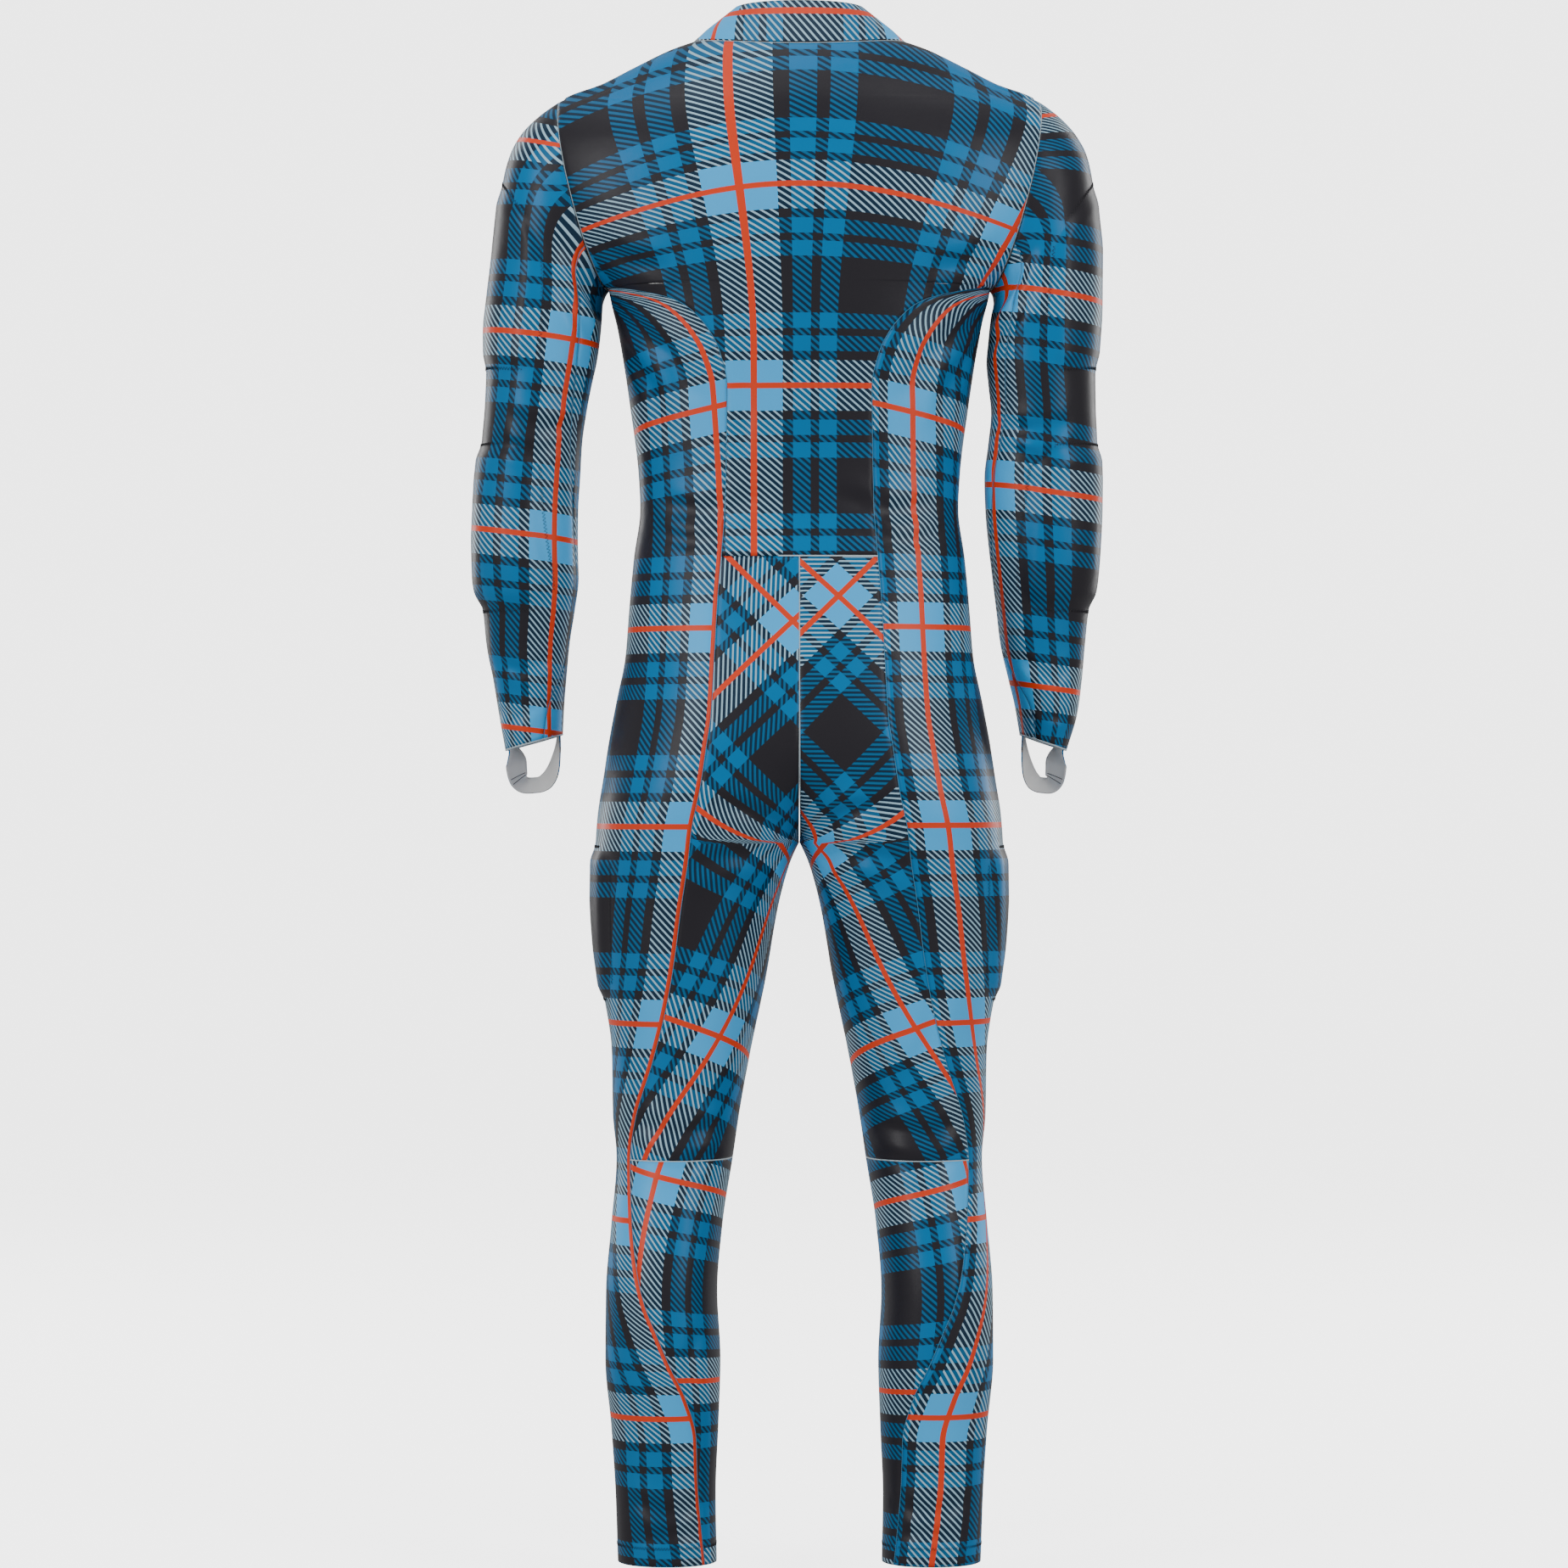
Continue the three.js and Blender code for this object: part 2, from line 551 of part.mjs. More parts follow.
// Both sides of every paired piece
const PANELS = { side: sideGrid, front: frontGrid, back_leg: backLegGrid, calf: calfGrid };
const onSide = (side, grid) => (side === "left" ? grid : mirrored(grid));
for (const side of ["left", "right"]) {
  const underSeam = (station) => sleeveCurve.seam(station);
  const grids = {
    ...PANELS,
    upper_sleeve: sleeveGrid(side, () => UNDER_SEAM_FRONT - 360, underSeam, COLUMNS.upperSleeve),
    under_sleeve: sleeveGrid(side, underSeam, () => UNDER_SEAM_FRONT, COLUMNS.underSleeve),
  };
  for (const [name, grid] of Object.entries(grids)) grids[name] = onSide(side, grid);
  for (const pad of PADS) {
    const grid = grids[pad.panel];
    const rows = pad.row1 - pad.row0;
    const columns = pad.column1 - pad.column0;
    const first = side === "left" ? pad.column0 : grid[0].length - 1 - pad.column1;
    const part = grid.slice(pad.row0, pad.row1 + 1).map((row) => row.slice(first, first + columns + 1));
    splitCorners(part);
    const dome = (i, n) => 1 - Math.abs((2 * i) / n - 1) ** PAD_FLATNESS;
    const lift = (r, c) => PAD_GAP + PAD_EDGE + (pad.height - PAD_EDGE) * dome(r, rows) * dome(c, columns);
    add(pad.name + "_" + side, shell(part, () => -PAD_GAP, lift, true), PAD_COVER);
  }
  for (const [name, grid] of Object.entries(grids)) add(name + "_" + side, shell(grid, wall), PRINT);
  add("hand_loop_" + side, handLoop(side), GREY_CLOTH);
}

// A hand loop, as a strap of four-sided section along its path round the palm
function handLoop(side) {
  const end = SLEEVE.at(-1);
  const out = side === "left" ? end.outLeft : end.outRight;
  const inner = side === "left" ? end.inLeft : end.inRight;
  const middle = (out + inner) / 2;
  const inside = (out - inner) / 2 - WALL - LOOP.clear - LOOP.thick;
  const centre = (w) => {
    const s = Math.sin(Math.PI * w);
    const c = Math.cos(Math.PI * w);
    const half = inside + LOOP.bulge * Math.sqrt(s);
    const hem = end.outZ + (end.inZ - end.outZ) * w;
    return new THREE.Vector3(
      middle + half * Math.sign(c) * Math.abs(c) ** LOOP.sidePower,
      end.y - LOOP.forward * s,
      hem + LOOP.tuck - LOOP.width / 2 - LOOP.drop * s ** LOOP.dropPower,
    );
  };
  const grid = steps(0, 1, LOOP.steps).map((w) => {
    const tilt = LOOP.tilt * Math.sin(Math.PI * w);
    const across = new THREE.Vector3(0, -Math.sin(tilt), Math.cos(tilt));
    const along = centre(Math.min(1, w + LOOP.stride)).sub(centre(Math.max(0, w - LOOP.stride)));
    const normal = across.clone().cross(along).normalize().negate();
    const edge = (k) => ({ outer: centre(w).addScaledVector(across, (k * LOOP.width) / 2), normal });
    return [1, 0, -1].map(edge);
  });
  return shell(onSide(side, grid), () => 0, () => LOOP.thick);
}

// Collar: a standing band on the neck seam, open at the zip, with the same columns as the pieces below it
const COLLAR_ROWS = [COLLAR_TOP, 22, 11, NECK_SEAM + SEAM_GAP / 2];
const collarGrid = bodyGrid(COLLAR_ROWS, (z) => {
  const back = steps(0, 1, COLUMNS.back);
  const half = [...back, ...steps(1, besideZip(z), COLUMNS.front).slice(1)];
  return [...half.slice(1).reverse().map((p) => -p), ...half];
});
add("collar", shell(collarGrid, wall), PRINT);

// Zip tape with its coil raised along the middle
const zipRows = [COLLAR_TOP, 22, 11, ...SHOULDER_ROWS, ...armholeRows, ...CHEST_ROWS, -515, -545, ZIP_BOTTOM];
const tapeX = [ZIP_TAPE_HALF - SEAM_GAP / 2, COIL.half + COIL.shoulder, COIL.half];
const zipGrid = bodyGrid(zipRows, (z) => {
  const half = tapeX.map((x) => roundAt(x, z, false));
  return [...half, ...half.map((p) => -p).reverse()];
});
const isCoil = (c) => c === 2 || c === 3;
add("zip_tape", shell(zipGrid, () => ZIP_TAPE_WALL, (r, c) => (isCoil(c) ? COIL.height : 0)), NYLON);

// Slider and pull, drawn flat with their outer face towards -Y, then leant to the collar's front
const wasm = await Module();
wasm.setup();

function solidOf(geometry) {
  const bare = new THREE.BufferGeometry();
  bare.setAttribute("position", geometry.getAttribute("position").clone());
  if (geometry.index) bare.setIndex(geometry.index);
  const merged = mergeVertices(bare, 1e-4);
  return new wasm.Manifold(
    new wasm.Mesh({
      numProp: 3,
      vertProperties: new Float32Array(merged.getAttribute("position").array),
      triVerts: new Uint32Array(merged.index.array),
    }),
  );
}

function geometryOf(solid) {
  const mesh = solid.getMesh();
  const geometry = new THREE.BufferGeometry();
  geometry.setAttribute("position", new THREE.Float32BufferAttribute(mesh.vertProperties, 3));
  geometry.setIndex(Array.from(mesh.triVerts));
  return geometry;
}

// An outline in X and Z, extruded by a depth towards -Y
function plate(points, depth) {
  const shape = new THREE.Shape(points.map(([x, z]) => new THREE.Vector2(x, z)));
  return new THREE.ExtrudeGeometry(shape, { depth, bevelEnabled: false }).rotateX(Math.PI / 2);
}

// The slider's body is waisted at its lower end, and its crown is an arch that the pull's bar turns under
const sliderHigh = SLIDER.length / 2;
const sliderWide = SLIDER.width / 2;
const bodyOutline = [
  [SLIDER.nose - sliderWide, -sliderHigh], [sliderWide - SLIDER.nose, -sliderHigh], [sliderWide, 0],
  [sliderWide, sliderHigh - SLIDER.chamfer], [sliderWide - SLIDER.chamfer, sliderHigh],
  [SLIDER.chamfer - sliderWide, sliderHigh], [-sliderWide, sliderHigh - SLIDER.chamfer], [-sliderWide, 0],
];
const crownBlock = new THREE.BoxGeometry(CROWN.width, CROWN.height + CROWN.sink, CROWN.length);
crownBlock.translate(0, -SLIDER.thick - (CROWN.height - CROWN.sink) / 2, 0);
const crownWindow = new THREE.BoxGeometry(
  2 * CROWN.width,
  CROWN.height - CROWN.bar,
  CROWN.length - 2 * CROWN.bar,
);
crownWindow.translate(0, -SLIDER.thick - (CROWN.height - CROWN.bar) / 2, 0);

const crown = solidOf(crownBlock).subtract(solidOf(crownWindow));
const slider = solidOf(plate(bodyOutline, SLIDER.thick)).add(crown);

// The pull turns on a round bar at the origin of its own frame and hangs from it as a plate with two arms
const pullHalf = PULL.width / 2;
const pullOutline = [
  [PULL.tip - pullHalf, -PULL.length], [pullHalf - PULL.tip, -PULL.length],
  [pullHalf, PULL.tip - PULL.length], [pullHalf, 0], [PULL.holeWidth / 2, 0],
  [PULL.holeWidth / 2, -PULL.holeEnd], [-PULL.holeWidth / 2, -PULL.holeEnd],
  [-PULL.holeWidth / 2, 0], [-pullHalf, 0],
  [-pullHalf, PULL.tip - PULL.length],
];
const pullPlate = plate(pullOutline, PULL.thick).translate(0, PULL.thick / 2, 0);
const pullBar = new THREE.CylinderGeometry(PULL.thick / 2, PULL.thick / 2, PULL.width, PULL.barFaces);
pullBar.rotateY(Math.PI / PULL.barFaces).rotateZ(Math.PI / 2);
const pull = geometryOf(solidOf(pullPlate).add(solidOf(pullBar)));

// On the coil at the top of the collar's front, leant back with it
const seat = bodyPoint(2, SLIDER.row);
const seatNormal = bodyNormal(2, SLIDER.row);
const zipFront = new THREE.Group();
zipFront.position.copy(seat).addScaledVector(seatNormal, COIL.height + PAD_GAP);
zipFront.rotation.x = Math.atan2(-seatNormal.z, -seatNormal.y);
group.add(zipFront);
add("zip_slider", geometryOf(slider), ZINC, zipFront);
const pullGroup = new THREE.Group();
pullGroup.position.y = -SLIDER.thick - (CROWN.height - CROWN.bar) / 2;
zipFront.add(pullGroup);
add("zip_pull", pull, ZINC, pullGroup);

export default group;
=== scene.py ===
"""A padded one-piece ski race suit, dressed for rendering: cloth shells, print, seams, stitches and zip."""

import math

import bpy
import numpy as np
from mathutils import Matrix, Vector


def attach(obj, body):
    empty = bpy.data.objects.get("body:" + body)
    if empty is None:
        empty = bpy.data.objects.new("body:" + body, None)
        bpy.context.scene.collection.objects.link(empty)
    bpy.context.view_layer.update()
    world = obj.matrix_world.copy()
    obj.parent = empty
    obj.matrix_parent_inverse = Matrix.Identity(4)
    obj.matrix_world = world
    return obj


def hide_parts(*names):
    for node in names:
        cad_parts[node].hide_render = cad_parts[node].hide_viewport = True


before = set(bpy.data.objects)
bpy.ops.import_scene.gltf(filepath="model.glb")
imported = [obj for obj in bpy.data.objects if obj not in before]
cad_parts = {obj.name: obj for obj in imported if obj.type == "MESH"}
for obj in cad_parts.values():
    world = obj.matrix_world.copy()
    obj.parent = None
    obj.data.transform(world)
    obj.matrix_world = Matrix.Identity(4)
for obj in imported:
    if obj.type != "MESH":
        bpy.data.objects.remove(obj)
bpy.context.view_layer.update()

# Sizes in millimetres, as in the solids
WALL = 1.8
HALF_GAP = 0.15
ARMHOLE_GAP = 0.5
COLLAR_TOP, NECK_SEAM, WAIST_SEAM, CROTCH, KNEE_SEAM, ANKLE_HEM = 33, 0, -487.5, -754, -1051, -1430
ARMHOLE = dict(x=201.5, z=-145, rise=89, lean=21.5, depth=66, bow=13)
ZIP_BOTTOM = -575
ZIP_TAPE_HALF = 6
CELL = 4.2
SAME_HEIGHT = 0.01
MM = 0.001


def table(text):
    """Columns of numbers by name, from rows of text under a row of names."""
    names, *rows = (line.split() for line in text.strip().splitlines())
    return {name: np.array(column, float) for name, column in zip(names, zip(*rows))}


# The body's ovals by height. inner is the side by the other leg, where there is one
SECTIONS = table("""
z half inner back front axis back_dip front_dip power
33 61 -61 44 -62 -8 0 34 2.05
24 72 -72 51 -64 -6 2 41 2.05
12 87 -87 60 -67 -4 6 51 2.05
0 101 -101 69 -71 -2 10 60 2.0
-8 122 -122 75 -77 0 10 57 1.85
-24 155 -155 85 -88 1 10 48 1.7
-40 186 -186 93 -98 2 9 38 1.62
-56 223 -223 99 -106 2 7 28 1.68
-78 223 -223 103.5 -112 2 5 19 1.86
-100 222 -222 107 -117 2 3 12 2.05
-145 210 -210 110 -124 2 0 3 2.3
-190 197 -197 108 -129 2 0 0 2.35
-234 180 -180 103 -129 2 0 0 2.35
-280 169.5 -169.5 95 -125 1 0 0 2.35
-344 159.5 -159.5 81 -117 0 0 0 2.3
-408 151.5 -151.5 71 -108 0 0 0 2.3
-440 150 -150 69 -104 0 0 0 2.3
-487 156 -156 76 -101 0 0 0 2.3
-536 160.5 -159.5 91 -103 0 0 0 2.3
-580 164 -153 103 -105 0 0 0 2.3
-620 172 -138 112 -106 0 0 0 2.3
-660 179.5 -96 116 -105 0 0 0 2.3
-696 185 -47 114 -103 0 0 0 2.3
-728 190 -14 108 -101 0 0 0 2.25
-754 192 0 101 -99 0 0 0 2.2
-776 193 9.5 96 -98 0 0 0 2.15
-816 192 20 88 -95 -1 0 0 2.1
-880 187 31 78 -90 -3 0 0 2.1
-952 177 46 66 -82 -6 0 0 2.1
-1010 176 56.5 58 -73 -7 0 0 2.1
-1051 172.5 62.5 56 -66 -5 0 0 2.1
-1112 177 72 64 -58 3 0 0 2.1
-1176 182 77 72 -52 9 0 0 2.1
-1240 182.5 74 68 -46 10 0 0 2.1
-1304 177 76 56 -41 7 0 0 2.1
-1368 173 78.5 49 -39 5 0 0 2.1
-1430 171 77.5 47 -39 4 0 0 2.1
""")

# Where the side panel meets the back
BACK_SEAM = table("""
z x
-234 177
-237 166
-240.5 151
-244.5 135
-249.5 119
-257 105
-268 93
-281 83
-298 74.5
-330 67.5
-376 68
-440 69.5
-487.5 73
-524 76
-580 79
-636 82
-664 86
-704 92
-743 100
-770 103
-816 110
-862 116
-907 124
-958 137
-1014 154
-1051 159
-1105 157
-1151 152
-1184 144
-1211 133
-1242 120
-1272 106
-1311 96
-1350 95
-1390 92
-1430 88
""")

# Where it meets the front
FRONT_SEAM = table("""
z x
-234 177
-237 168
-240.5 158
-244.5 149
-249.5 141
-257 134.5
-268 129
-298 121
-376 114
-487.5 113
-580 120
-664 134
-754 146
-862 148
-958 142
-1051 133
-1105 124
-1184 120
-1430 122
""")

# Rings of the sleeve. seam is the angle of the under sleeve's back seam
SLEEVE = table("""
out_z in_z out_left in_left out_right in_right depth y bow seam
-56 -234 223 180 223 180 66 2 13 126
-71 -238 244 183 243 183 65 2 11 126
-88 -242 261 184.5 259 184 64 2 9 127
-108 -246 272 185.5 270 184 62.5 2 7 127
-134 -251 279 186 276 183 61 2 5 128
-164 -258 283 186 279.5 181 60 1 3 129
-200 -268 286 186.5 282 179.5 59 1 1 130
-240 -283 291 188 282 178 58 0 0 132
-278 -302 295 191 281 176.5 56 -2 0 134
-312 -324 295.5 196 279.5 178.5 54 -4 0 137
-344 -350 297 201 280 181 52 -6 0 140
-376 -378 300 205 281.5 178.5 50 -9 0 144
-410 -410 302.5 207 282 175 49 -13 0 150
-440 -440 304.5 209 282 176 48 -17 0 156
-472 -472 306 209.5 281 179 47 -21 0 163
-504 -504 305.5 209 279 183 45.5 -26 0 170
-536 -535 300 213 274.5 187 42 -31 0 173
-568 -566 297 218 271.5 191 38 -36 0 170
-600 -596 291 221 269 198 34.5 -41 0 150
-632 -624 286 223.5 265 205 31.5 -46 0 124
-667 -652 280 225 255 210 29 -50 0 112
""")
UNDER_SEAM_FRONT = 210
STATIONS = np.arange(len(SLEEVE["y"]), dtype=float)


def curve(x, y):
    """A smooth curve through points, with no overshoot between them."""
    order = np.argsort(x)
    x, y = np.asarray(x, float)[order], np.asarray(y, float)[order]
    span = np.diff(x)
    slope = np.diff(y) / span
    before, after = slope[:-1], slope[1:]
    total = np.where(before + after == 0, 1, before + after)
    inner = np.where(before * after <= 0, 0, 2 * before * after / total)
    tangent = np.concatenate([[slope[0]], inner, [slope[-1]]])

    def value(at):
        at = np.asarray(at, float)
        i = np.clip(np.searchsorted(x, at, side="left") - 1, 0, len(span) - 1)
        t = np.clip((at - x[i]) / span[i], 0, 1)
        h1 = (1 + 2 * t) * (1 - t) ** 2
        h2 = t * (1 - t) ** 2 * span[i]
        h3 = t * t * (3 - 2 * t)
        h4 = t * t * (t - 1) * span[i]
        return h1 * y[i] + h2 * tangent[i] + h3 * y[i + 1] + h4 * tangent[i + 1]

    return value


at = {name: curve(SECTIONS["z"], SECTIONS[name]) for name in SECTIONS if name != "z"}
back_seam_x = curve(BACK_SEAM["z"], BACK_SEAM["x"])
front_seam_x = curve(FRONT_SEAM["z"], FRONT_SEAM["x"])
sleeve_at = {name: curve(STATIONS, SLEEVE[name]) for name in SLEEVE}


def armhole_edge(z, is_back):
    """Whether a height crosses the armhole, the body's x at the armhole's middle line, and its half depth."""
    c = (z - ARMHOLE["z"]) / ARMHOLE["rise"]
    s = np.sqrt(np.clip(1 - c * c, 0, None))
    x = ARMHOLE["x"] + ARMHOLE["lean"] * c + np.where(is_back, 1, -1) * ARMHOLE["bow"] * s
    return np.abs(c) < 1, x, ARMHOLE["depth"] * s


def oval(z, is_back):
    """The oval of one side of the body at a height."""
    power = at["power"](z)
    axis = at["axis"](z)
    depth = np.where(is_back, at["back"](z) - axis, axis - at["front"](z))
    inside, edge_x, reach = armhole_edge(z, is_back)
    wide = edge_x / (1 - np.clip(reach / depth, 0, 0.98) ** power) ** (1 / power)
    half = np.where(inside, wide, at["half"](z))
    inner = np.where(inside, -wide, at["inner"](z))
    middle, width = (half + inner) / 2, (half - inner) / 2
    cos = np.clip(middle / width, 0, 1)
    sin = np.clip(1 - cos**power, 0, 1) ** (1 / power)
    start = np.where(inner >= 0, 0, np.arctan2(sin, cos))
    return middle, width, depth, power, start, np.where(inside, edge_x, at["half"](z)), axis


def body_point(p, z):
    """A point of the cloth's outer face: p is 0 at centre back, 1 at the side and 2 at centre front."""
    p, z = np.broadcast_arrays(np.asarray(p, float), np.asarray(z, float))
    turn = np.abs(p)
    is_back = turn <= 1
    q = np.where(is_back, turn, 2 - turn)
    middle, width, depth, power, start, limit, axis = oval(z, is_back)
    angle = start + (np.pi - start) * q
    c, s = np.cos(angle), np.sin(angle)
    scale = (np.abs(c) ** power + np.abs(s) ** power) ** (-1 / power)
    x = middle - width * c * scale
    y = axis + np.where(is_back, 1, -1) * depth * s * scale
    dip = np.where(is_back, at["back_dip"](z), at["front_dip"](z)) * (1 - (x / limit) ** 2)
    return np.stack([np.where(p < 0, -x, x), y, z - dip], -1)


def round_at(x, z, is_back):
    """The p of a point on the body, from its x and its height."""
    middle, width, _, power, start, _, _ = oval(z, is_back)
    c = np.clip((middle - x) / width, -1, 1)
    s = np.clip(1 - np.abs(c) ** power, 0, 1) ** (1 / power)
    q = np.clip((np.arctan2(s, c) - start) / (np.pi - start), 0, None)
    return np.where(is_back, q, 2 - q)


def sleeve_point(side, angle, station):
    """A point of a sleeve: the angle is 0 at the outer line and 90 at the back."""
    out, inner = sleeve_at["out_" + side](station), sleeve_at["in_" + side](station)
    out_z, in_z = sleeve_at["out_z"](station), sleeve_at["in_z"](station)
    c, s = np.cos(np.radians(angle)), np.sin(np.radians(angle))
    x = (out + inner) / 2 + (out - inner) / 2 * c + sleeve_at["bow"](station) * s
    y = sleeve_at["y"](station) + sleeve_at["depth"](station) * s
    z = (out_z + in_z) / 2 + (out_z - in_z) / 2 * c
    return np.stack(np.broadcast_arrays(x, y, z), -1)


# Grids of points


def unit(vectors):
    return vectors / np.maximum(np.linalg.norm(vectors, axis=-1, keepdims=True), 1e-9)


def normals_of(grid):
    """Outward normals of a grid whose rows run down and whose columns run round towards the front."""
    return unit(np.cross(np.gradient(grid, axis=1), np.gradient(grid, axis=0)))


def arc(grid, axis):
    """Distance run along a grid's rows or columns."""
    step = np.linalg.norm(np.diff(grid, axis=axis), axis=-1)
    zero = np.zeros_like(np.take(step, [0], axis=axis))
    return np.cumsum(np.concatenate([zero, step], axis=axis), axis=axis)


def ramp(value, low, high):
    """Rises smoothly from 0 at the low value to 1 at the high one."""
    t = np.clip((np.asarray(value, float) - low) / (high - low), 0, 1)
    return t * t * (3 - 2 * t)


def fill_in(knots, cell=CELL):
    """Splits each step between heights into even ones no longer than a cell."""
    out = [knots[0]]
    for a, b in zip(knots, knots[1:]):
        n = max(1, math.ceil(abs(b - a) / cell))
        out += [a + (b - a) * (i + 1) / n for i in range(n)]
    return np.array(out, float)


EASE_REACH, EASE_SPREAD, EASE_FALL = 30.0, 11.0, 1.6
EASE_SIDE_RIM, EASE_TOP_RIM = 30, 25


def ease(grid, heights, is_back, spots):
    """Eases a panel's depth where its sections change quickly with height, and leaves its edges alone."""
    total = 0
    depth = 0
    for shift in np.linspace(-2, 2, 9):
        z = (heights + shift * EASE_SPREAD)[:, None]
        share = np.exp(-(shift**2) / EASE_FALL)
        depth = depth + share * on_body(grid[..., 0], z, is_back)[..., 1]
        total = total + share
    weight = np.max([np.exp(-(((heights - s) / EASE_REACH) ** 4)) for s in spots], axis=0)[:, None]
    side = arc(grid, 1)
    rim = np.minimum(side, side[:, -1:] - side)
    weight = weight * ramp(rim, 0, EASE_SIDE_RIM) * ramp(arc(grid, 0), 0, EASE_TOP_RIM)
    eased = grid.copy()
    eased[..., 1] += (depth / total - grid[..., 1]) * weight
    return eased


# Creases: soft troughs and ridges, each along a line over the body


def on_body(x, z, is_back):
    p = round_at(np.abs(x), z, is_back)
    return body_point(np.where(np.asarray(x) < 0, -p, p), z)


def resampled(points, steps=4):
    """Two rows of numbers at even steps along a line of pairs."""
    t = np.linspace(0, len(points) - 1, steps * (len(points) - 1) + 1)
    return [np.interp(t, range(len(points)), points[:, k]) for k in (0, 1)]


CREASES = []
CREASE_DEPTH = 2.3
CREASE_RANGE = 3.5
CREASE_TAPER = 0.7
RIDGE_HEIGHT, RIDGE_AT = 0.55, 1.7


def crease(line, width, depth):
    CREASES.append((line, width, depth * CREASE_DEPTH))


def crease_relief(points):
    """How far each point moves along its normal for all the creases."""
    flat = points.reshape(-1, 3)
    out = np.zeros(len(flat))
    for line, width, depth in CREASES:
        low, high = line.min(0) - CREASE_RANGE * width, line.max(0) + CREASE_RANGE * width
        near = np.where(np.all((flat > low) & (flat < high), axis=1))[0]
        if not len(near):
            continue
        p = flat[near]
        best = np.full(len(near), 1e9)
        place = np.zeros(len(near))
        length = arc(line[None], 1)[0]
        for a, b, start in zip(line, line[1:], length):
            ab = b - a
            t = np.clip(((p - a) @ ab) / (ab @ ab), 0, 1)
            d = np.linalg.norm(p - (a + t[:, None] * ab), axis=1)
            closer = d < best
            best[closer] = d[closer]
            place[closer] = start + t[closer] * np.linalg.norm(ab)
        half_turn = np.pi * np.clip(place / length[-1], 0, 1)
        taper = np.clip(np.sin(half_turn), 0, 1) ** CREASE_TAPER
        ridge = RIDGE_HEIGHT * np.exp(-(((best - RIDGE_AT * width) / width) ** 2))
        fold = ridge - np.exp(-((best / width) ** 2))
        out[near] += depth * taper * fold
    return out.reshape(points.shape[:-1])


# Creases on both sides of the body: is it on the back, width, depth, and pairs of x and z along its line.
PAIRED_CREASES = [
    (True, 9, 1.3, (30, -432), (88, -446), (132, -438)),
    (True, 7, 0.9, (52, -468), (104, -474), (138, -463)),
    (True, 10, 1.2, (168, -262), (120, -300), (98, -345)),
    (True, 8, 0.9, (166, -285), (138, -330), (126, -372)),
    (True, 9, 1.1, (190, -196), (158, -215), (120, -222)),
    (True, 8, 1.4, (12, -742), (52, -722), (96, -716)),
    (True, 9, 1.3, (18, -768), (64, -764), (110, -780)),
    (True, 8, 1.3, (70, -1018), (116, -1026), (158, -1012)),
    (True, 6, 1.0, (72, -1044), (110, -1058), (150, -1049)),
    (True, 7, 1.0, (84, -1372), (122, -1380), (160, -1368)),
    (True, 6, 0.8, (86, -1402), (118, -1398), (150, -1406)),
    (False, 9, 1.5, (22, -702), (70, -676), (118, -664)),
    (False, 8, 1.3, (16, -736), (60, -724), (104, -728)),
    (False, 9, 1.1, (78, -1030), (118, -1040), (150, -1026)),
    (False, 9, 1.2, (40, -440), (86, -452), (128, -444)),
    (False, 10, 1.3, (168, -258), (132, -292), (108, -330)),
    (False, 9, 1.1, (188, -190), (150, -208), (112, -206)),
    (False, 7, 0.9, (86, -1380), (122, -1388), (156, -1378)),
]
SINGLE_CREASES = [
    (True, 9, 0.8, (58, -300), (50, -352), (56, -402)),
    (True, 9, 1.0, (-96, -980), (-118, -940), (-128, -890)),
    (True, 8, 0.9, (92, -1200), (104, -1240), (100, -1290)),
]
# Creases of the sleeves: width, depth, the point that moves on the right one, and pairs of angle and station
SLEEVE_CREASES = [
    (8, 1.3, 0, (60, 10.3), (110, 10.7), (165, 10.4)),
    (6, 0.9, 1, (40, 11.1), (95, 11.3), (150, 11.0)),
    (8, 1.2, 1, (110, 2.4), (150, 4.2), (175, 6.0)),
    (7, 0.9, 2, (95, 5.4), (140, 6.8), (170, 7.4)),
    (7, 1.2, 1, (-80, 10.6), (-120, 10.9), (-150, 10.7)),
    (6, 0.9, 1, (30, 17.4), (80, 17.8), (130, 17.5)),
    (5, 0.7, 2, (10, 18.9), (70, 19.2), (120, 18.8)),
    (6, 0.8, None, (-60, 18.0), (-100, 18.4), (-140, 18.1)),
]
RIGHT_SHIFT = 0.25
for way, creases in ((1, PAIRED_CREASES), (-1, PAIRED_CREASES), (1, SINGLE_CREASES)):
    for is_back, width, depth, *points in creases:
        crease(on_body(*resampled(np.array(points, float) * (way, 1)), is_back), width, depth)
for side, way, shift in (("left", 1, 0.0), ("right", -1, RIGHT_SHIFT)):
    for width, depth, moved, *points in SLEEVE_CREASES:
        points = np.array(points, float)
        if moved is not None:
            points[moved, 1] += shift
        crease(sleeve_point(side, *resampled(points)) * (way, 1, 1), width, depth)


# Materials


def linear(colour):
    """A hex colour as linear values with alpha."""
    parts = [int(colour[i : i + 2], 16) / 255 for i in (1, 3, 5)]
    return [c / 12.92 if c <= 0.04045 else ((c + 0.055) / 1.055) ** 2.4 for c in parts] + [1.0]


NOISE_ROUGHNESS = 0.55


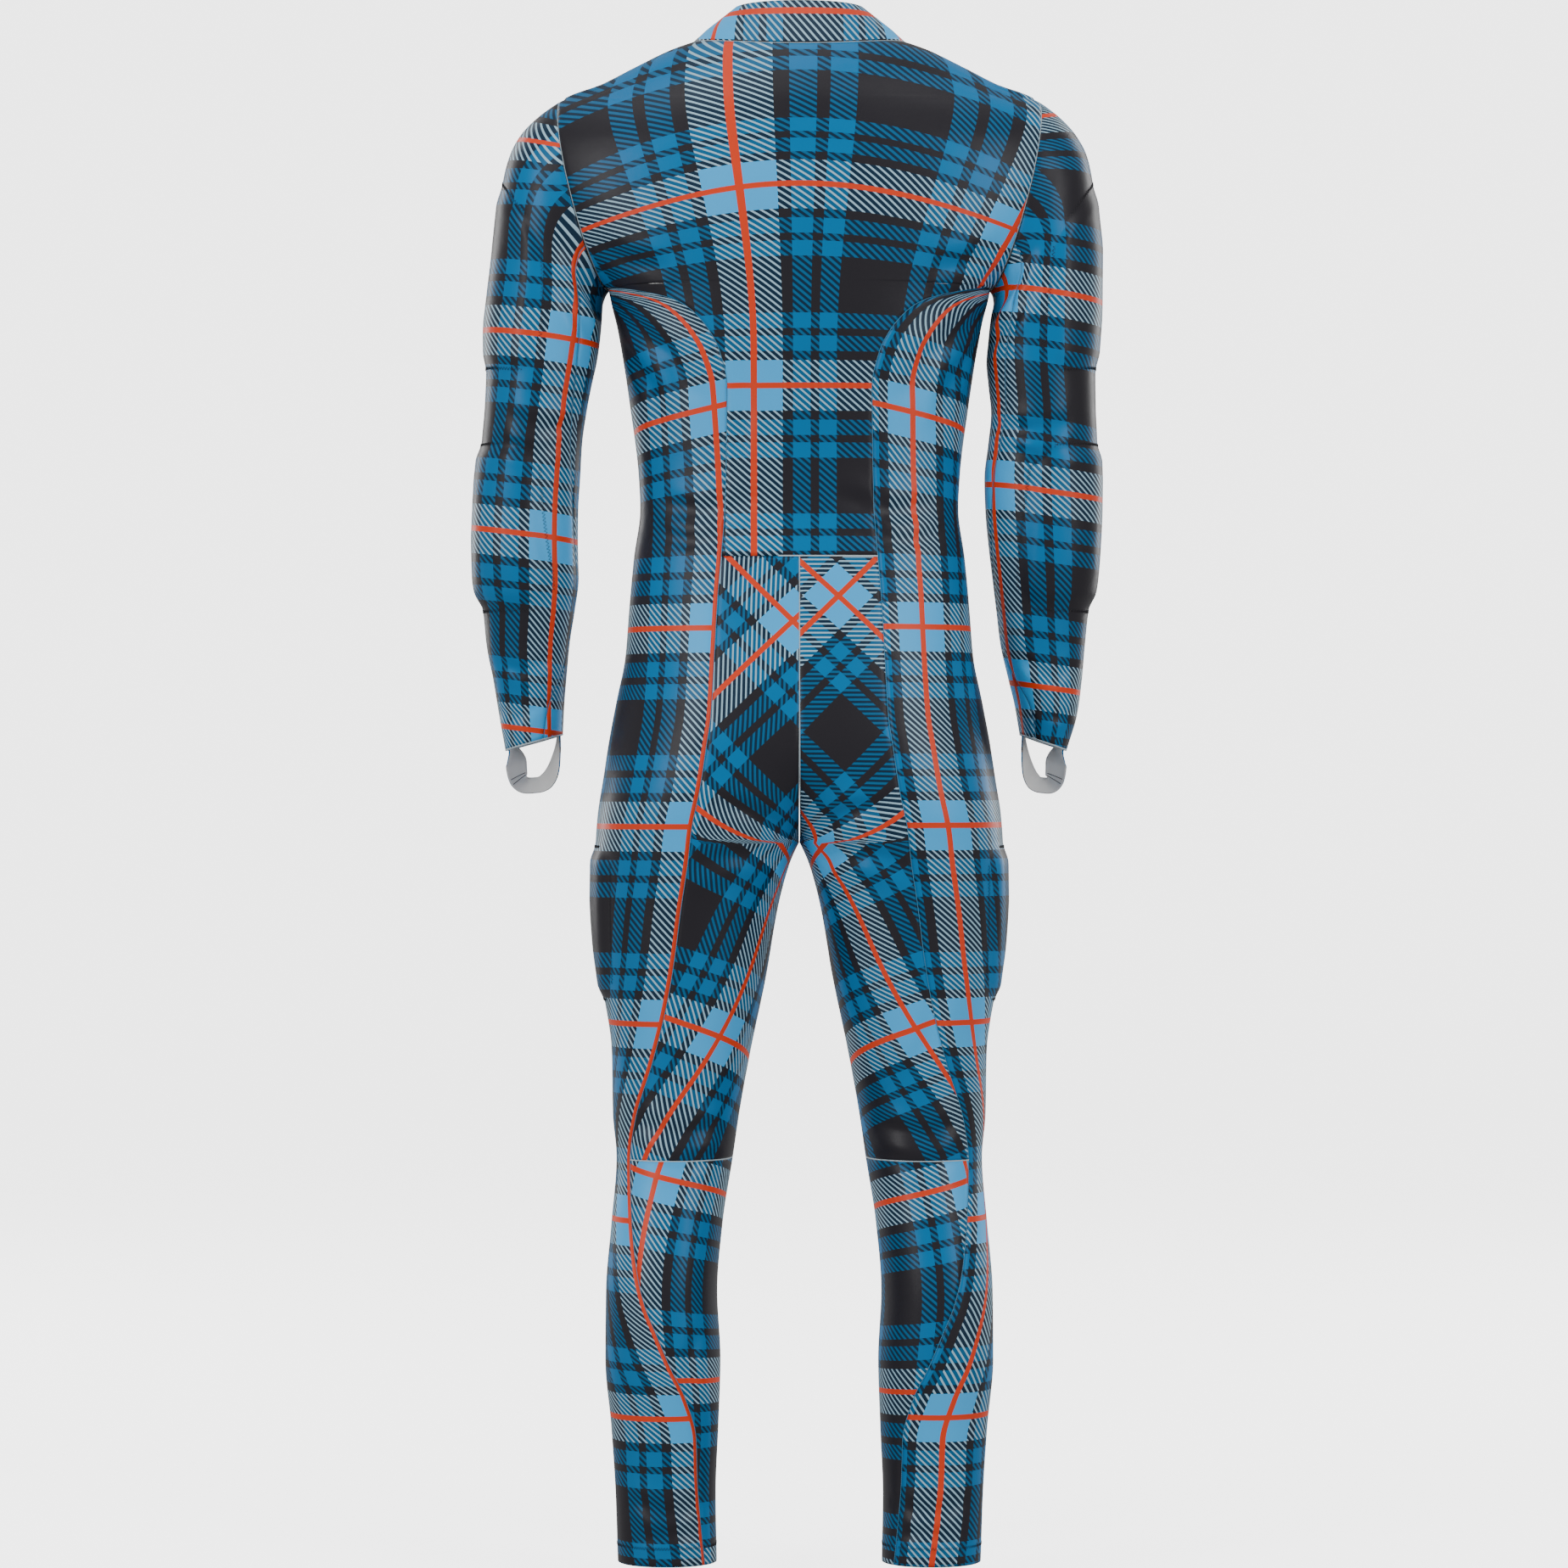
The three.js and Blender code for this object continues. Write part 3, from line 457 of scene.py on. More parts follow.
class Nodes:
    """Short calls that add and join shader nodes."""

    def __init__(self, name):
        self.material = bpy.data.materials.new(name)
        self.material.use_nodes = True
        self.tree = self.material.node_tree
        self.shader = self.tree.nodes["Principled BSDF"]

    def add(self, kind, inputs=(), **values):
        node = self.tree.nodes.new(kind)
        for key, value in values.items():
            setattr(node, key, value)
        for key, value in dict(inputs).items():
            self.link(value, node.inputs[key])
        return node

    def link(self, source, target):
        if hasattr(source, "is_output"):
            self.tree.links.new(source, target)
        else:
            target.default_value = source

    def math(self, operation, *values):
        return self.add("ShaderNodeMath", enumerate(values), operation=operation).outputs[0]

    def mix(self, factor, a, b):
        return self.add("ShaderNodeMix", {"Factor": factor, 6: a, 7: b}, data_type="RGBA").outputs[2]

    def place(self):
        return self.add("ShaderNodeTexCoord").outputs["Object"]

    def noise(self, scale, detail=3.0):
        inputs = {"Scale": scale, "Detail": detail, "Roughness": NOISE_ROUGHNESS, "Vector": self.place()}
        return self.add("ShaderNodeTexNoise", inputs).outputs["Fac"]

    def wave(self, direction, **values):
        inputs = {**values, "Vector": self.place()}
        node = self.add("ShaderNodeTexWave", inputs, wave_type="BANDS", bands_direction=direction)
        return node.outputs["Fac"]

    def spread(self, value, low, high):
        inputs = {"Value": value, "To Min": low, "To Max": high}
        return self.add("ShaderNodeMapRange", inputs).outputs["Result"]

    def bump(self, height, strength, distance, **values):
        inputs = {"Strength": strength, "Distance": distance, "Height": height, **values}
        return self.add("ShaderNodeBump", inputs).outputs["Normal"]

    def set(self, **values):
        for name, value in values.items():
            self.link(value, self.shader.inputs[name.replace("_", " ")])


CHARCOAL, NAVY, BLUE, TEAL = "#28262c", "#0b2c44", "#0577b2", "#0a6594"
PALE, SKY, ORANGE = "#a8cee2", "#42baff", "#ea4420"
# Half of the sett, in millimetres from the middle of the pale stripe that holds the orange line. The other
# half mirrors it.
HALF_SETT = 92.0
BANDS = [(0, "pale"), (23, "dark"), (31, "blue"), (45, "dark"), (52, "blue"), (66, "dark")]
HATCH = 6.2
LINE_HALF = 2.6
PALE_THINNER = 0.14
CODE = {"pale": (1, 0, 0, 1), "blue": (0, 1, 0, 1), "dark": (0, 0, 1, 1)}
SATIN = (0.32, 0.42)
SATIN_SPECULAR = 0.24


def print_material():
    """A check printed as if in twill: stripes one way and the other, hatched where two colours cross."""
    n = Nodes("printed_cloth")
    parts = n.add("ShaderNodeSeparateXYZ")
    n.link(n.add("ShaderNodeUVMap", uv_map="print").outputs["UV"], parts.inputs[0])
    across, down = (n.math("MULTIPLY", parts.outputs[i], 1 / MM) for i in (0, 1))
    stripes = []
    for way in (across, down):
        fold = n.math("PINGPONG", way, HALF_SETT)
        bands = n.add("ShaderNodeValToRGB")
        bands.color_ramp.interpolation = "CONSTANT"
        elements = bands.color_ramp.elements
        for i, (start, colour) in enumerate(BANDS):
            element = elements[i] if i < 2 else elements.new(start / HALF_SETT)
            element.position, element.color = start / HALF_SETT, CODE[colour]
        n.link(n.math("DIVIDE", fold, HALF_SETT), bands.inputs[0])
        split = n.add("ShaderNodeSeparateColor")
        n.link(bands.outputs[0], split.inputs[0])
        pale, blue, dark = split.outputs
        yarn = n.mix(blue, linear(NAVY), linear(TEAL))
        yarn = n.mix(pale, yarn, linear(PALE))
        line = n.math("LESS_THAN", fold, LINE_HALF)
        stripes.append((pale, blue, dark, yarn, line))
    (pale_a, blue_a, dark_a, yarn_a, line_a), (pale_b, blue_b, dark_b, yarn_b, line_b) = stripes
    phase = n.math("FRACT", n.math("DIVIDE", n.math("ADD", across, down), HATCH))
    share = n.math("MULTIPLY", n.math("SUBTRACT", pale_a, pale_b), PALE_THINNER)
    over = n.math("LESS_THAN", phase, n.math("ADD", share, 0.5))
    colour = n.mix(over, yarn_a, yarn_b)
    for a, b, ink in ((blue_a, blue_b, BLUE), (pale_a, pale_b, SKY), (dark_a, dark_b, CHARCOAL)):
        colour = n.mix(n.math("MULTIPLY", a, b), colour, linear(ink))
    colour = n.mix(n.math("MAXIMUM", line_a, line_b), colour, linear(ORANGE))
    wear = n.spread(n.noise(9.0, 4.0), 0.93, 1.06)
    tone = n.add("ShaderNodeHueSaturation", {"Value": wear, "Color": colour})
    knit = n.add("ShaderNodeTexVoronoi", {"Scale": 1500, "Vector": n.place()})
    weave = n.bump(knit.outputs["Distance"], 0.25, 0.0002)
    n.set(Base_Color=tone.outputs[0], Roughness=n.spread(n.noise(55.0), *SATIN))
    n.set(Normal=n.bump(n.noise(140.0, 2.0), 0.12, 0.0006, Normal=weave), Specular_IOR_Level=SATIN_SPECULAR)
    return n.material


KNIT_ROUGHNESS = (0.77, 0.93)


def knit_material(name, colour, dark):
    """Plain knit with rows of loops."""
    n = Nodes(name)
    wave = n.wave("Z", Scale=700.0, Distortion=1.5, Detail=1.0)
    cloud = n.noise(40.0)
    blend = n.math("ADD", n.math("MULTIPLY", wave, 0.35), n.math("MULTIPLY", cloud, 0.55))
    n.set(Base_Color=n.mix(blend, linear(dark), linear(colour)), Roughness=n.spread(cloud, *KNIT_ROUGHNESS))
    n.set(Normal=n.bump(wave, 0.3, 0.0003), Sheen_Weight=0.25, Sheen_Roughness=0.5)
    return n.material


def metal_material():
    """Dark plated metal, a little scuffed."""
    n = Nodes("zip_metal")
    cloud = n.noise(160.0, 4.0)
    n.set(Base_Color=n.mix(cloud, linear("#3c3c41"), linear("#5e5e64")), Metallic=0.75)
    n.set(Roughness=n.spread(n.noise(420.0, 2.0), 0.24, 0.42), Normal=n.bump(cloud, 0.08, 0.0002))
    return n.material


def nylon_material(name, colour, light):
    """Woven tape or thread, its weave in two tones."""
    n = Nodes(name)
    weave = n.wave("DIAGONAL", Scale=420, Distortion=0.6)
    n.set(Base_Color=n.mix(weave, linear(colour), linear(light)))
    n.set(Roughness=n.spread(n.noise(90.0), 0.42, 0.62), Normal=n.bump(weave, 0.3, 0.0002))
    return n.material


PRINT = print_material()
LINING = knit_material("grey_cloth", "#fbfbfa", "#e0e0e0")
NYLON = nylon_material("zip_nylon", "#121214", "#232326")
METAL = metal_material()
THREAD_DARK = nylon_material("thread_dark", "#1b1b1f", "#34343a")
THREAD_PALE = nylon_material("thread_pale", "#9fb8c4", "#d3dee2")


# Meshes


def make_mesh(name, vertices, faces, materials, face_material, flat_faces=None, uv=None):
    """An object from arrays of vertices in millimetres and four-sided faces."""
    mesh = bpy.data.meshes.new(name)
    vertices = np.asarray(vertices, np.float64) * MM
    faces = np.asarray(faces, np.int32)
    mesh.vertices.add(len(vertices))
    mesh.vertices.foreach_set("co", vertices.ravel())
    mesh.loops.add(faces.size)
    mesh.loops.foreach_set("vertex_index", faces.ravel())
    mesh.polygons.add(len(faces))
    mesh.polygons.foreach_set("loop_start", np.arange(0, faces.size, 4, dtype=np.int32))
    mesh.polygons.foreach_set("material_index", np.asarray(face_material, np.int32))
    smooth = np.ones(len(faces), bool)
    if flat_faces is not None:
        smooth[flat_faces] = False
    mesh.polygons.foreach_set("use_smooth", smooth)
    if uv is not None:
        layer = mesh.uv_layers.new(name="print")
        layer.uv.foreach_set("vector", (np.asarray(uv) * MM)[faces.ravel()].ravel())
    mesh.update(calc_edges=True)
    mesh.validate()
    for material in materials:
        mesh.materials.append(material)
    made = bpy.data.objects.new(name, mesh)
    bpy.context.scene.collection.objects.link(made)
    return made


def shell(name, outer, inner, uv, is_mirrored=False):
    """A closed sheet between two grids of points: print outside and at the rim, grey knit inside."""
    rows, columns = outer.shape[:2]
    if is_mirrored:
        outer, inner = outer * (-1, 1, 1), inner * (-1, 1, 1)
    count = rows * columns
    index = np.arange(count).reshape(rows, columns)
    a, b, c, d = index[:-1, :-1], index[:-1, 1:], index[1:, 1:], index[1:, :-1]
    face_out = np.stack([a, b, c, d], -1).reshape(-1, 4)
    face_in = face_out[:, ::-1] + count
    loop = np.concatenate([index[0, :-1], index[:-1, -1], index[-1, :0:-1], index[:0:-1, 0]])
    after = np.roll(loop, -1)
    rim = np.stack([after, loop, loop + count, after + count], -1)
    faces = np.concatenate([face_out, face_in, rim])
    if not is_mirrored:
        faces = faces[:, ::-1]
    kinds = np.concatenate([np.zeros(len(face_out)), np.ones(len(face_in)), np.zeros(len(rim))])
    flat = np.arange(len(face_out) + len(face_in), len(faces))
    vertices = np.concatenate([outer.reshape(-1, 3), inner.reshape(-1, 3)])
    both = np.concatenate([uv, uv]).reshape(-1, 2)
    return make_mesh(name, vertices, faces, [PRINT, LINING], kinds, flat, both)


def area_of(grid):
    """The area of a grid of points, from the diagonals of its cells."""
    diagonals = grid[1:, 1:] - grid[:-1, :-1], grid[1:, :-1] - grid[:-1, 1:]
    return float(np.sum(np.linalg.norm(np.cross(*diagonals), axis=-1)) / 2)


STRETCH_ACROSS, STRETCH_DOWN = 1.1, 1.03
LEAST_CUT_SHARE = 0.31
SEAM_SOFT, SEAM_DIP, SEAM_ROLL = 14, 0.75, 2.1
OUTER = {}


def cloth(name, grid, uv, lift=None, seams="tblr", nodes=()):
    """One cloth piece: its creases, its rolled seams and its wall. Its cut area is worked out but not used.
    """
    is_mirrored = name.endswith("_right")
    mirror = (-1, 1, 1) if is_mirrored else (1, 1, 1)
    normal = normals_of(grid)
    relief = crease_relief(grid * mirror)
    if lift is not None:
        relief = relief + lift
    round_arc, down_arc = arc(grid, 1), arc(grid, 0)
    rims = {
        "l": round_arc,
        "r": round_arc[:, -1:] - round_arc,
        "t": down_arc,
        "b": down_arc[-1:] - down_arc,
    }
    for seam in seams:
        flattened = relief * np.clip(rims[seam] / SEAM_SOFT, 0, 1) ** 0.5
        relief = flattened - SEAM_DIP * np.exp(-((rims[seam] / SEAM_ROLL) ** 2))
    outer = grid + normal * relief[..., None]
    inner = outer - normals_of(outer) * WALL
    made = shell(name + "_cloth", outer, inner, uv * mirror[:2], is_mirrored)
    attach(made, "suit")
    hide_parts(*(nodes or [name]))
    width = float(round_arc[:, -1].max()) * MM / STRETCH_ACROSS
    length = float(down_arc[-1].max()) * MM / STRETCH_DOWN
    area = min(area_of(outer) * MM * MM / (STRETCH_ACROSS * STRETCH_DOWN), width * length)
    OUTER[name] = (outer * mirror, normal * mirror)
    area = max(area, LEAST_CUT_SHARE * width * length)


# Panels of the body


ARMHOLE_ANGLES = np.linspace(0, np.pi, 61)
ARMHOLE_ROWS = ARMHOLE["z"] + ARMHOLE["rise"] * np.cos(ARMHOLE_ANGLES)
ARMPIT, SHOULDER_TIP = ARMHOLE_ROWS[-1], ARMHOLE_ROWS[0]
TORSO_ROWS = np.concatenate(
    [
        fill_in([NECK_SEAM, -8, -20, -32, -44, SHOULDER_TIP], 3.2)[:-1],
        ARMHOLE_ROWS,
        fill_in([ARMPIT, -257], 1.6)[1:],
        fill_in([-257, WAIST_SEAM])[1:],
    ]
)
LEG_ROWS = fill_in([WAIST_SEAM, CROTCH, ANKLE_HEM])[1:]
LEG_ROWS = LEG_ROWS[np.abs(LEG_ROWS - ZIP_BOTTOM) > SAME_HEIGHT]


def seam_edge(z, is_back):
    """Where the back or the front ends at the side, in p."""
    seam = back_seam_x(z) if is_back else front_seam_x(z)
    inside, edge_x, _ = armhole_edge(z, is_back)
    x = np.where(inside, edge_x, seam)
    edge = round_at(x, z, is_back)
    return np.where(z >= SHOULDER_TIP - SAME_HEIGHT, 1.0, edge)


def pull_in(edge, z, amount, towards, step=0.004):
    """Moves an edge given in p sideways by millimetres."""
    gap = np.linalg.norm(body_point(edge + towards * step, z) - body_point(edge, z), axis=-1) / step
    return edge + towards * amount / gap


def body_grid(rows, start, end, columns):
    """The p of each column and the points of a panel between two edges given in p."""
    start, end = np.broadcast_to(start, rows.shape), np.broadcast_to(end, rows.shape)
    t = np.linspace(0, 1, columns + 1)
    p = start[:, None] + (end - start)[:, None] * t
    return p, body_point(p, rows[:, None])


def signed_arc(grid, p, at_p):
    """Distance round each row from the column nearest a value of p."""
    run = arc(grid, 1)
    origin = np.array([np.interp(at_p, row_p, row) for row_p, row in zip(p, run)])
    return run - origin[:, None]


OTHER_FACE, FAR = -25, 1000


def printed(across, down, grid, x, z, is_back=True):
    """Print coordinates from two distances, moved so that two printed lines cross at a place on the panel."""
    uv = np.stack(np.broadcast_arrays(across, down), -1)
    away = np.hypot(grid[..., 0] - x, grid[..., 2] - z)
    away = away + np.where(grid[..., 1] * (1 if is_back else -1) < OTHER_FACE, FAR, 0)
    return uv - uv[np.unravel_index(np.argmin(away), away.shape)]


SOFT_SPOTS = (SHOULDER_TIP - 4, ARMPIT)
# The print is pulled wider above the first height, and its rows bend down between the other two
WIDENING_FROM, BEND_FROM, BEND_FULL = -300, -330, -120
SHOULDER_X, WIDEST_X = 195, 230
BACK_WIDENING, BACK_BEND, BACK_PRINT = 0.62, 46, 0.86
FRONT_WIDENING, FRONT_BEND, FRONT_PRINT = 0.3, 30, 0.9


def shoulder_print(rows, grid, widening, bending):
    """How many times wider the print is at each row, and its distance down."""
    spread = 1 + widening * ramp(rows, WIDENING_FROM, 0)[:, None]
    bend = bending * ramp(rows, BEND_FROM, BEND_FULL)[:, None]
    return spread, -rows[:, None] - bend * (np.clip(np.abs(grid[..., 0]), 0, WIDEST_X) / SHOULDER_X) ** 2


# Back
rows = TORSO_ROWS.copy()
rows[0] -= HALF_GAP
rows[-1] += HALF_GAP
edge = seam_edge(rows, True)
edge = np.where(rows > ARMPIT, edge, pull_in(edge, rows, HALF_GAP, -1))
p, grid = body_grid(rows, -edge, edge, 112)
grid = ease(grid, rows, True, SOFT_SPOTS)
run = signed_arc(grid, p, 0.0)
spread, down = shoulder_print(rows, grid, BACK_WIDENING, BACK_BEND)
cloth("back", grid, printed(run / spread * BACK_PRINT, down, grid, 57.6, -148.6))

# Sides
side_rows = np.concatenate([[ARMPIT], TORSO_ROWS[TORSO_ROWS < ARMPIT - SAME_HEIGHT], LEG_ROWS])
start = pull_in(round_at(back_seam_x(side_rows), side_rows, True), side_rows, HALF_GAP, 1)
end = pull_in(round_at(front_seam_x(side_rows), side_rows, False), side_rows, HALF_GAP, -1)
_, side_grid = body_grid(side_rows, start, end, 52)


PAD_CORNER, PAD_RISE, PAD_RIM_SHARE = 28.0, 20.0, 0.72


def pad_lift(across, along, half_width, half_length, height):
    """A pad's bulge: a flat dome in a rectangle with rounded corners. Distances are from its middle."""
    qx = np.abs(across) - half_width + PAD_CORNER
    qy = np.abs(along) - half_length + PAD_CORNER
    corner = np.hypot(np.clip(qx, 0, None), np.clip(qy, 0, None))
    inside = PAD_CORNER - corner - np.minimum(np.maximum(qx, qy), 0)
    rim = ramp(inside, 0, PAD_RISE)
    middle = ramp(inside, PAD_RISE, np.minimum(half_width, half_length))
    return height * rim * (PAD_RIM_SHARE + (1 - PAD_RIM_SHARE) * middle)


def column_place(grid, low, high):
    """Distance from the middle of a range of columns, given in fractions, and the range's half width."""
    run = arc(grid, 1)
    total = run[:, -1:]
    return run - total * (low + high) / 2, total * (high - low) / 2


# Pads under the side panels: their lower and upper heights, their columns in sixths, and their bulge
SIDE_COLUMNS = 6
SIDE_PADS = [(-906, -754, 2, 6, 6.2), (-1180, -1020, 3, 6, 7.0)]


def side_pad(low_z, high_z, first, last, height):
    across, half = column_place(side_grid, first / SIDE_COLUMNS, last / SIDE_COLUMNS)
    return pad_lift(across, side_rows[:, None] - (low_z + high_z) / 2, half, (high_z - low_z) / 2, height)


side_lift = sum(side_pad(*pad) for pad in SIDE_PADS)
# The side print leans near the waist, and its rows rise towards the back above the waist
LEAN_FROM, LEAN_LENGTH = 341, 140
SIDE_RISE, SIDE_RISE_LENGTH, SIDE_RISE_LEAST = 24, 120, -0.4
SIDE_PRINT = 0.94
for side, x, z, lean in (("left", 81.6, -350, 0.08), ("right", 107, -352, 0.0)):
    run = arc(side_grid, 1)
    below = np.minimum(-side_rows - LEAN_FROM, LEAN_LENGTH)[:, None]
    rise = SIDE_RISE * np.clip(1 - run / SIDE_RISE_LENGTH, SIDE_RISE_LEAST, 1)
    rise = rise * ramp(side_rows, -520, -340)[:, None]
    uv = printed((run + lean * below) * SIDE_PRINT, -side_rows[:, None] + rise, side_grid, x, z)
    pads = [f"thigh_pad_{side}", f"shin_pad_{side}"]
    cloth(f"side_{side}", side_grid, uv, side_lift, "tlr", [f"side_{side}", *pads])

# Fronts
front_rows = np.sort(np.unique(np.concatenate([TORSO_ROWS, LEG_ROWS, [ZIP_BOTTOM]])))[::-1]
front_rows[0] -= HALF_GAP
start = seam_edge(front_rows, False)
start = np.where(front_rows > ARMPIT, start, pull_in(start, front_rows, HALF_GAP, 1))
centre = pull_in(np.full(front_rows.shape, 2.0), front_rows, HALF_GAP, -1)
end = np.where(front_rows >= ZIP_BOTTOM, round_at(ZIP_TAPE_HALF + HALF_GAP, front_rows, False), centre)
front_p, front_grid = body_grid(front_rows, start, end, 64)
front_grid = ease(front_grid, front_rows, False, SOFT_SPOTS)
run = signed_arc(front_grid, front_p, 2.0)
run -= np.where(front_rows >= ZIP_BOTTOM, ZIP_TAPE_HALF + HALF_GAP, HALF_GAP)[:, None]
spread, down = shoulder_print(front_rows, front_grid, FRONT_WIDENING, FRONT_BEND)
for side, x in (("left", 62), ("right", 118)):
    uv = printed(-run / spread * FRONT_PRINT, down, front_grid, x, -168, False)
    cloth(f"front_{side}", front_grid, uv, None, "tlr")

# Seat with the back of the thigh
leg_rows = np.concatenate([[WAIST_SEAM], LEG_ROWS[LEG_ROWS > KNEE_SEAM], [KNEE_SEAM]])
leg_rows[0] -= HALF_GAP
leg_rows[-1] += HALF_GAP


def leg_back(rows, columns):
    start = pull_in(np.zeros(rows.shape), rows, HALF_GAP, 1)
    end = pull_in(round_at(back_seam_x(rows), rows, True), rows, HALF_GAP, -1)
    return body_grid(rows, start, end, columns)


def turned(grid, rows, angles, x, z):
    """Print coordinates along a strip whose grain turns as it goes down."""
    run = arc(grid, 1)
    across = run - run[:, -1:] / 2
    middle = grid[:, grid.shape[1] // 2]
    step = np.linalg.norm(np.diff(middle, axis=0), axis=1)
    angle = np.radians(curve(*zip(*angles))(rows))
    mid = (angle[1:] + angle[:-1]) / 2
    u0 = np.concatenate([[0], np.cumsum(step * np.sin(mid))])[:, None]
    v0 = np.concatenate([[0], np.cumsum(step * np.cos(mid))])[:, None]
    c, s = np.cos(angle)[:, None], np.sin(angle)[:, None]
    return printed(across * c + u0, -across * s + v0, grid, x, z)


# Heights and the turn of the grain in degrees
SEAT_TURN = [(-1060, -20), (-960, -20), (-860, -17), (-780, -24), (-700, -43), (-640, -45), (-480, -45)]
_, grid = leg_back(leg_rows, 44)
for side, x, z in (("left", 73.8, -935), ("right", 108, -927)):
    uv = turned(grid, leg_rows, SEAT_TURN, x, z)
    cloth(f"back_leg_{side}", grid, uv)

# Calves
calf_rows = np.concatenate([[KNEE_SEAM], LEG_ROWS[LEG_ROWS < KNEE_SEAM - SAME_HEIGHT]])
calf_rows[0] -= HALF_GAP
CALF_TURN = [(-1440, 0), (-1300, -2), (-1200, -7), (-1120, -12), (-1040, -14)]
_, grid = leg_back(calf_rows, 26)
for side, x, z in (("left", 133.5, -1066), ("right", 162, -1070)):
    uv = turned(grid, calf_rows, CALF_TURN, x, z)
    cloth(f"calf_{side}", grid, uv, None, "tlr")

# Sleeves
sleeve_rows = fill_in(list(STATIONS), 0.14)


def sleeve_grid(side, start, end, columns):
    """A sleeve piece between two edges, as angles at each station, its columns from the back round."""
    gap = np.degrees(HALF_GAP / sleeve_at["depth"](sleeve_rows))
    t = np.linspace(1, 0, columns + 1)
    low, high = start + gap, end - gap
    angle = low[:, None] + (high - low)[:, None] * t
    grid = sleeve_point(side, angle, sleeve_rows[:, None])
    grid[0, :, 0] += ARMHOLE_GAP
    return angle, grid


# How much longer the outer line is than its drop, at the first stations of the cap
CAP_EXTRA = curve([0, 1, 2, 3, 4, 20], [22, 11, 4, 1, 0, 0])
# Pads under the upper sleeves: first and last station and their bulge
SLEEVE_PADS = [(4, 9, 4.6), (11, 16, 6.6)]
PAD_COLUMNS = (2 / 13, 8 / 13)
ARM_DEPTH, SLEEVE_PRINT = 48, 0.92
for side, tilt, ring, column in (("left", 0.14, -280, 125.0), ("right", -0.14, -240, 150.0)):
    under = sleeve_at["seam"](sleeve_rows)
    front = np.full(under.shape, float(UNDER_SEAM_FRONT))
    line = sleeve_point(side, 45.0, sleeve_rows)
    down = np.concatenate([[0], np.cumsum(np.linalg.norm(np.diff(line, axis=0), axis=1))])[:, None]
    middle = sleeve_point(side, 90.0, sleeve_rows)[:, :1]
    for name, low, high, columns in (
        (f"upper_sleeve_{side}", front - 360, under, 80),
        (f"under_sleeve_{side}", under, front, 26),
    ):
        angle, grid = sleeve_grid(side, low, high, columns)
        lift, nodes = None, [name]
        if "upper" in name:
            lift = np.zeros(grid.shape[:2])
            across, half = column_place(grid, *PAD_COLUMNS)
            for first, last, height in SLEEVE_PADS:
                top, bottom = np.interp([first, last], sleeve_rows, down[:, 0])
                lift += pad_lift(across, down - (top + bottom) / 2, half, (bottom - top) / 2, height)
            nodes += [f"upper_arm_pad_{side}", f"forearm_pad_{side}"]
        radius = (sleeve_at["depth"](sleeve_rows) + ARM_DEPTH)[:, None] / 2
        turn = -np.radians(angle - column) * radius * SLEEVE_PRINT
        cap = CAP_EXTRA(sleeve_rows)[:, None] * np.clip(np.cos(np.radians(angle)), 0, 1)
        drop = -grid[..., 2] - cap + tilt * (grid[..., 0] - middle)
        uv = np.stack([turn, drop + ring], -1)
        cloth(name, grid, uv, lift, "tlr", nodes)

# Collar
collar_rows = fill_in([COLLAR_TOP, NECK_SEAM], 2.2)
collar_rows[-1] += HALF_GAP
end = round_at(ZIP_TAPE_HALF + HALF_GAP, collar_rows, False)
p, grid = body_grid(collar_rows, -end, end, 150)
uv = printed(signed_arc(grid, p, 0.0) * FRONT_PRINT, -collar_rows[:, None], grid, 70, 24)
cloth("collar", grid, uv, None, "b")

# Hand loops

LOOP_STEPS, LOOP_THICK, LOOP_CLEAR = 72, 1.2, 1.6
LOOP_WIDTH, LOOP_WIDER, LOOP_WIDEN_POWER = 17.0, (5.5, 4.0), 1.6
LOOP_BULGE, LOOP_TUCK, LOOP_SQUARE = 5, 0.75, 0.7
LOOP_FORWARD, LOOP_DROP, LOOP_ROUND = 24, 40, 0.9
LOOP_BELOW_CUFF, LOOP_INTO_CUFF = 1, 10
LOOP_ROLL = 0.9
LOOP_PRINT_HALF, LOOP_PRINT_X, LOOP_PRINT_LENGTH, LOOP_PRINT_Z = 10, 44, 118, 28
# The strap's turn in degrees by share of its length: edge on at the cuff, its inner face to the back between
LOOP_TWIST = [(0, 90), (0.03, 85), (0.13, 28), (0.6, 28), (0.88, 74), (1, 90)]
JOIN_AT, JOIN_SPREAD, JOIN_HEIGHT, JOIN_ROWS = 0.265, 0.022, 0.5, (0.24, 0.29)
LOOP_JOINS = []


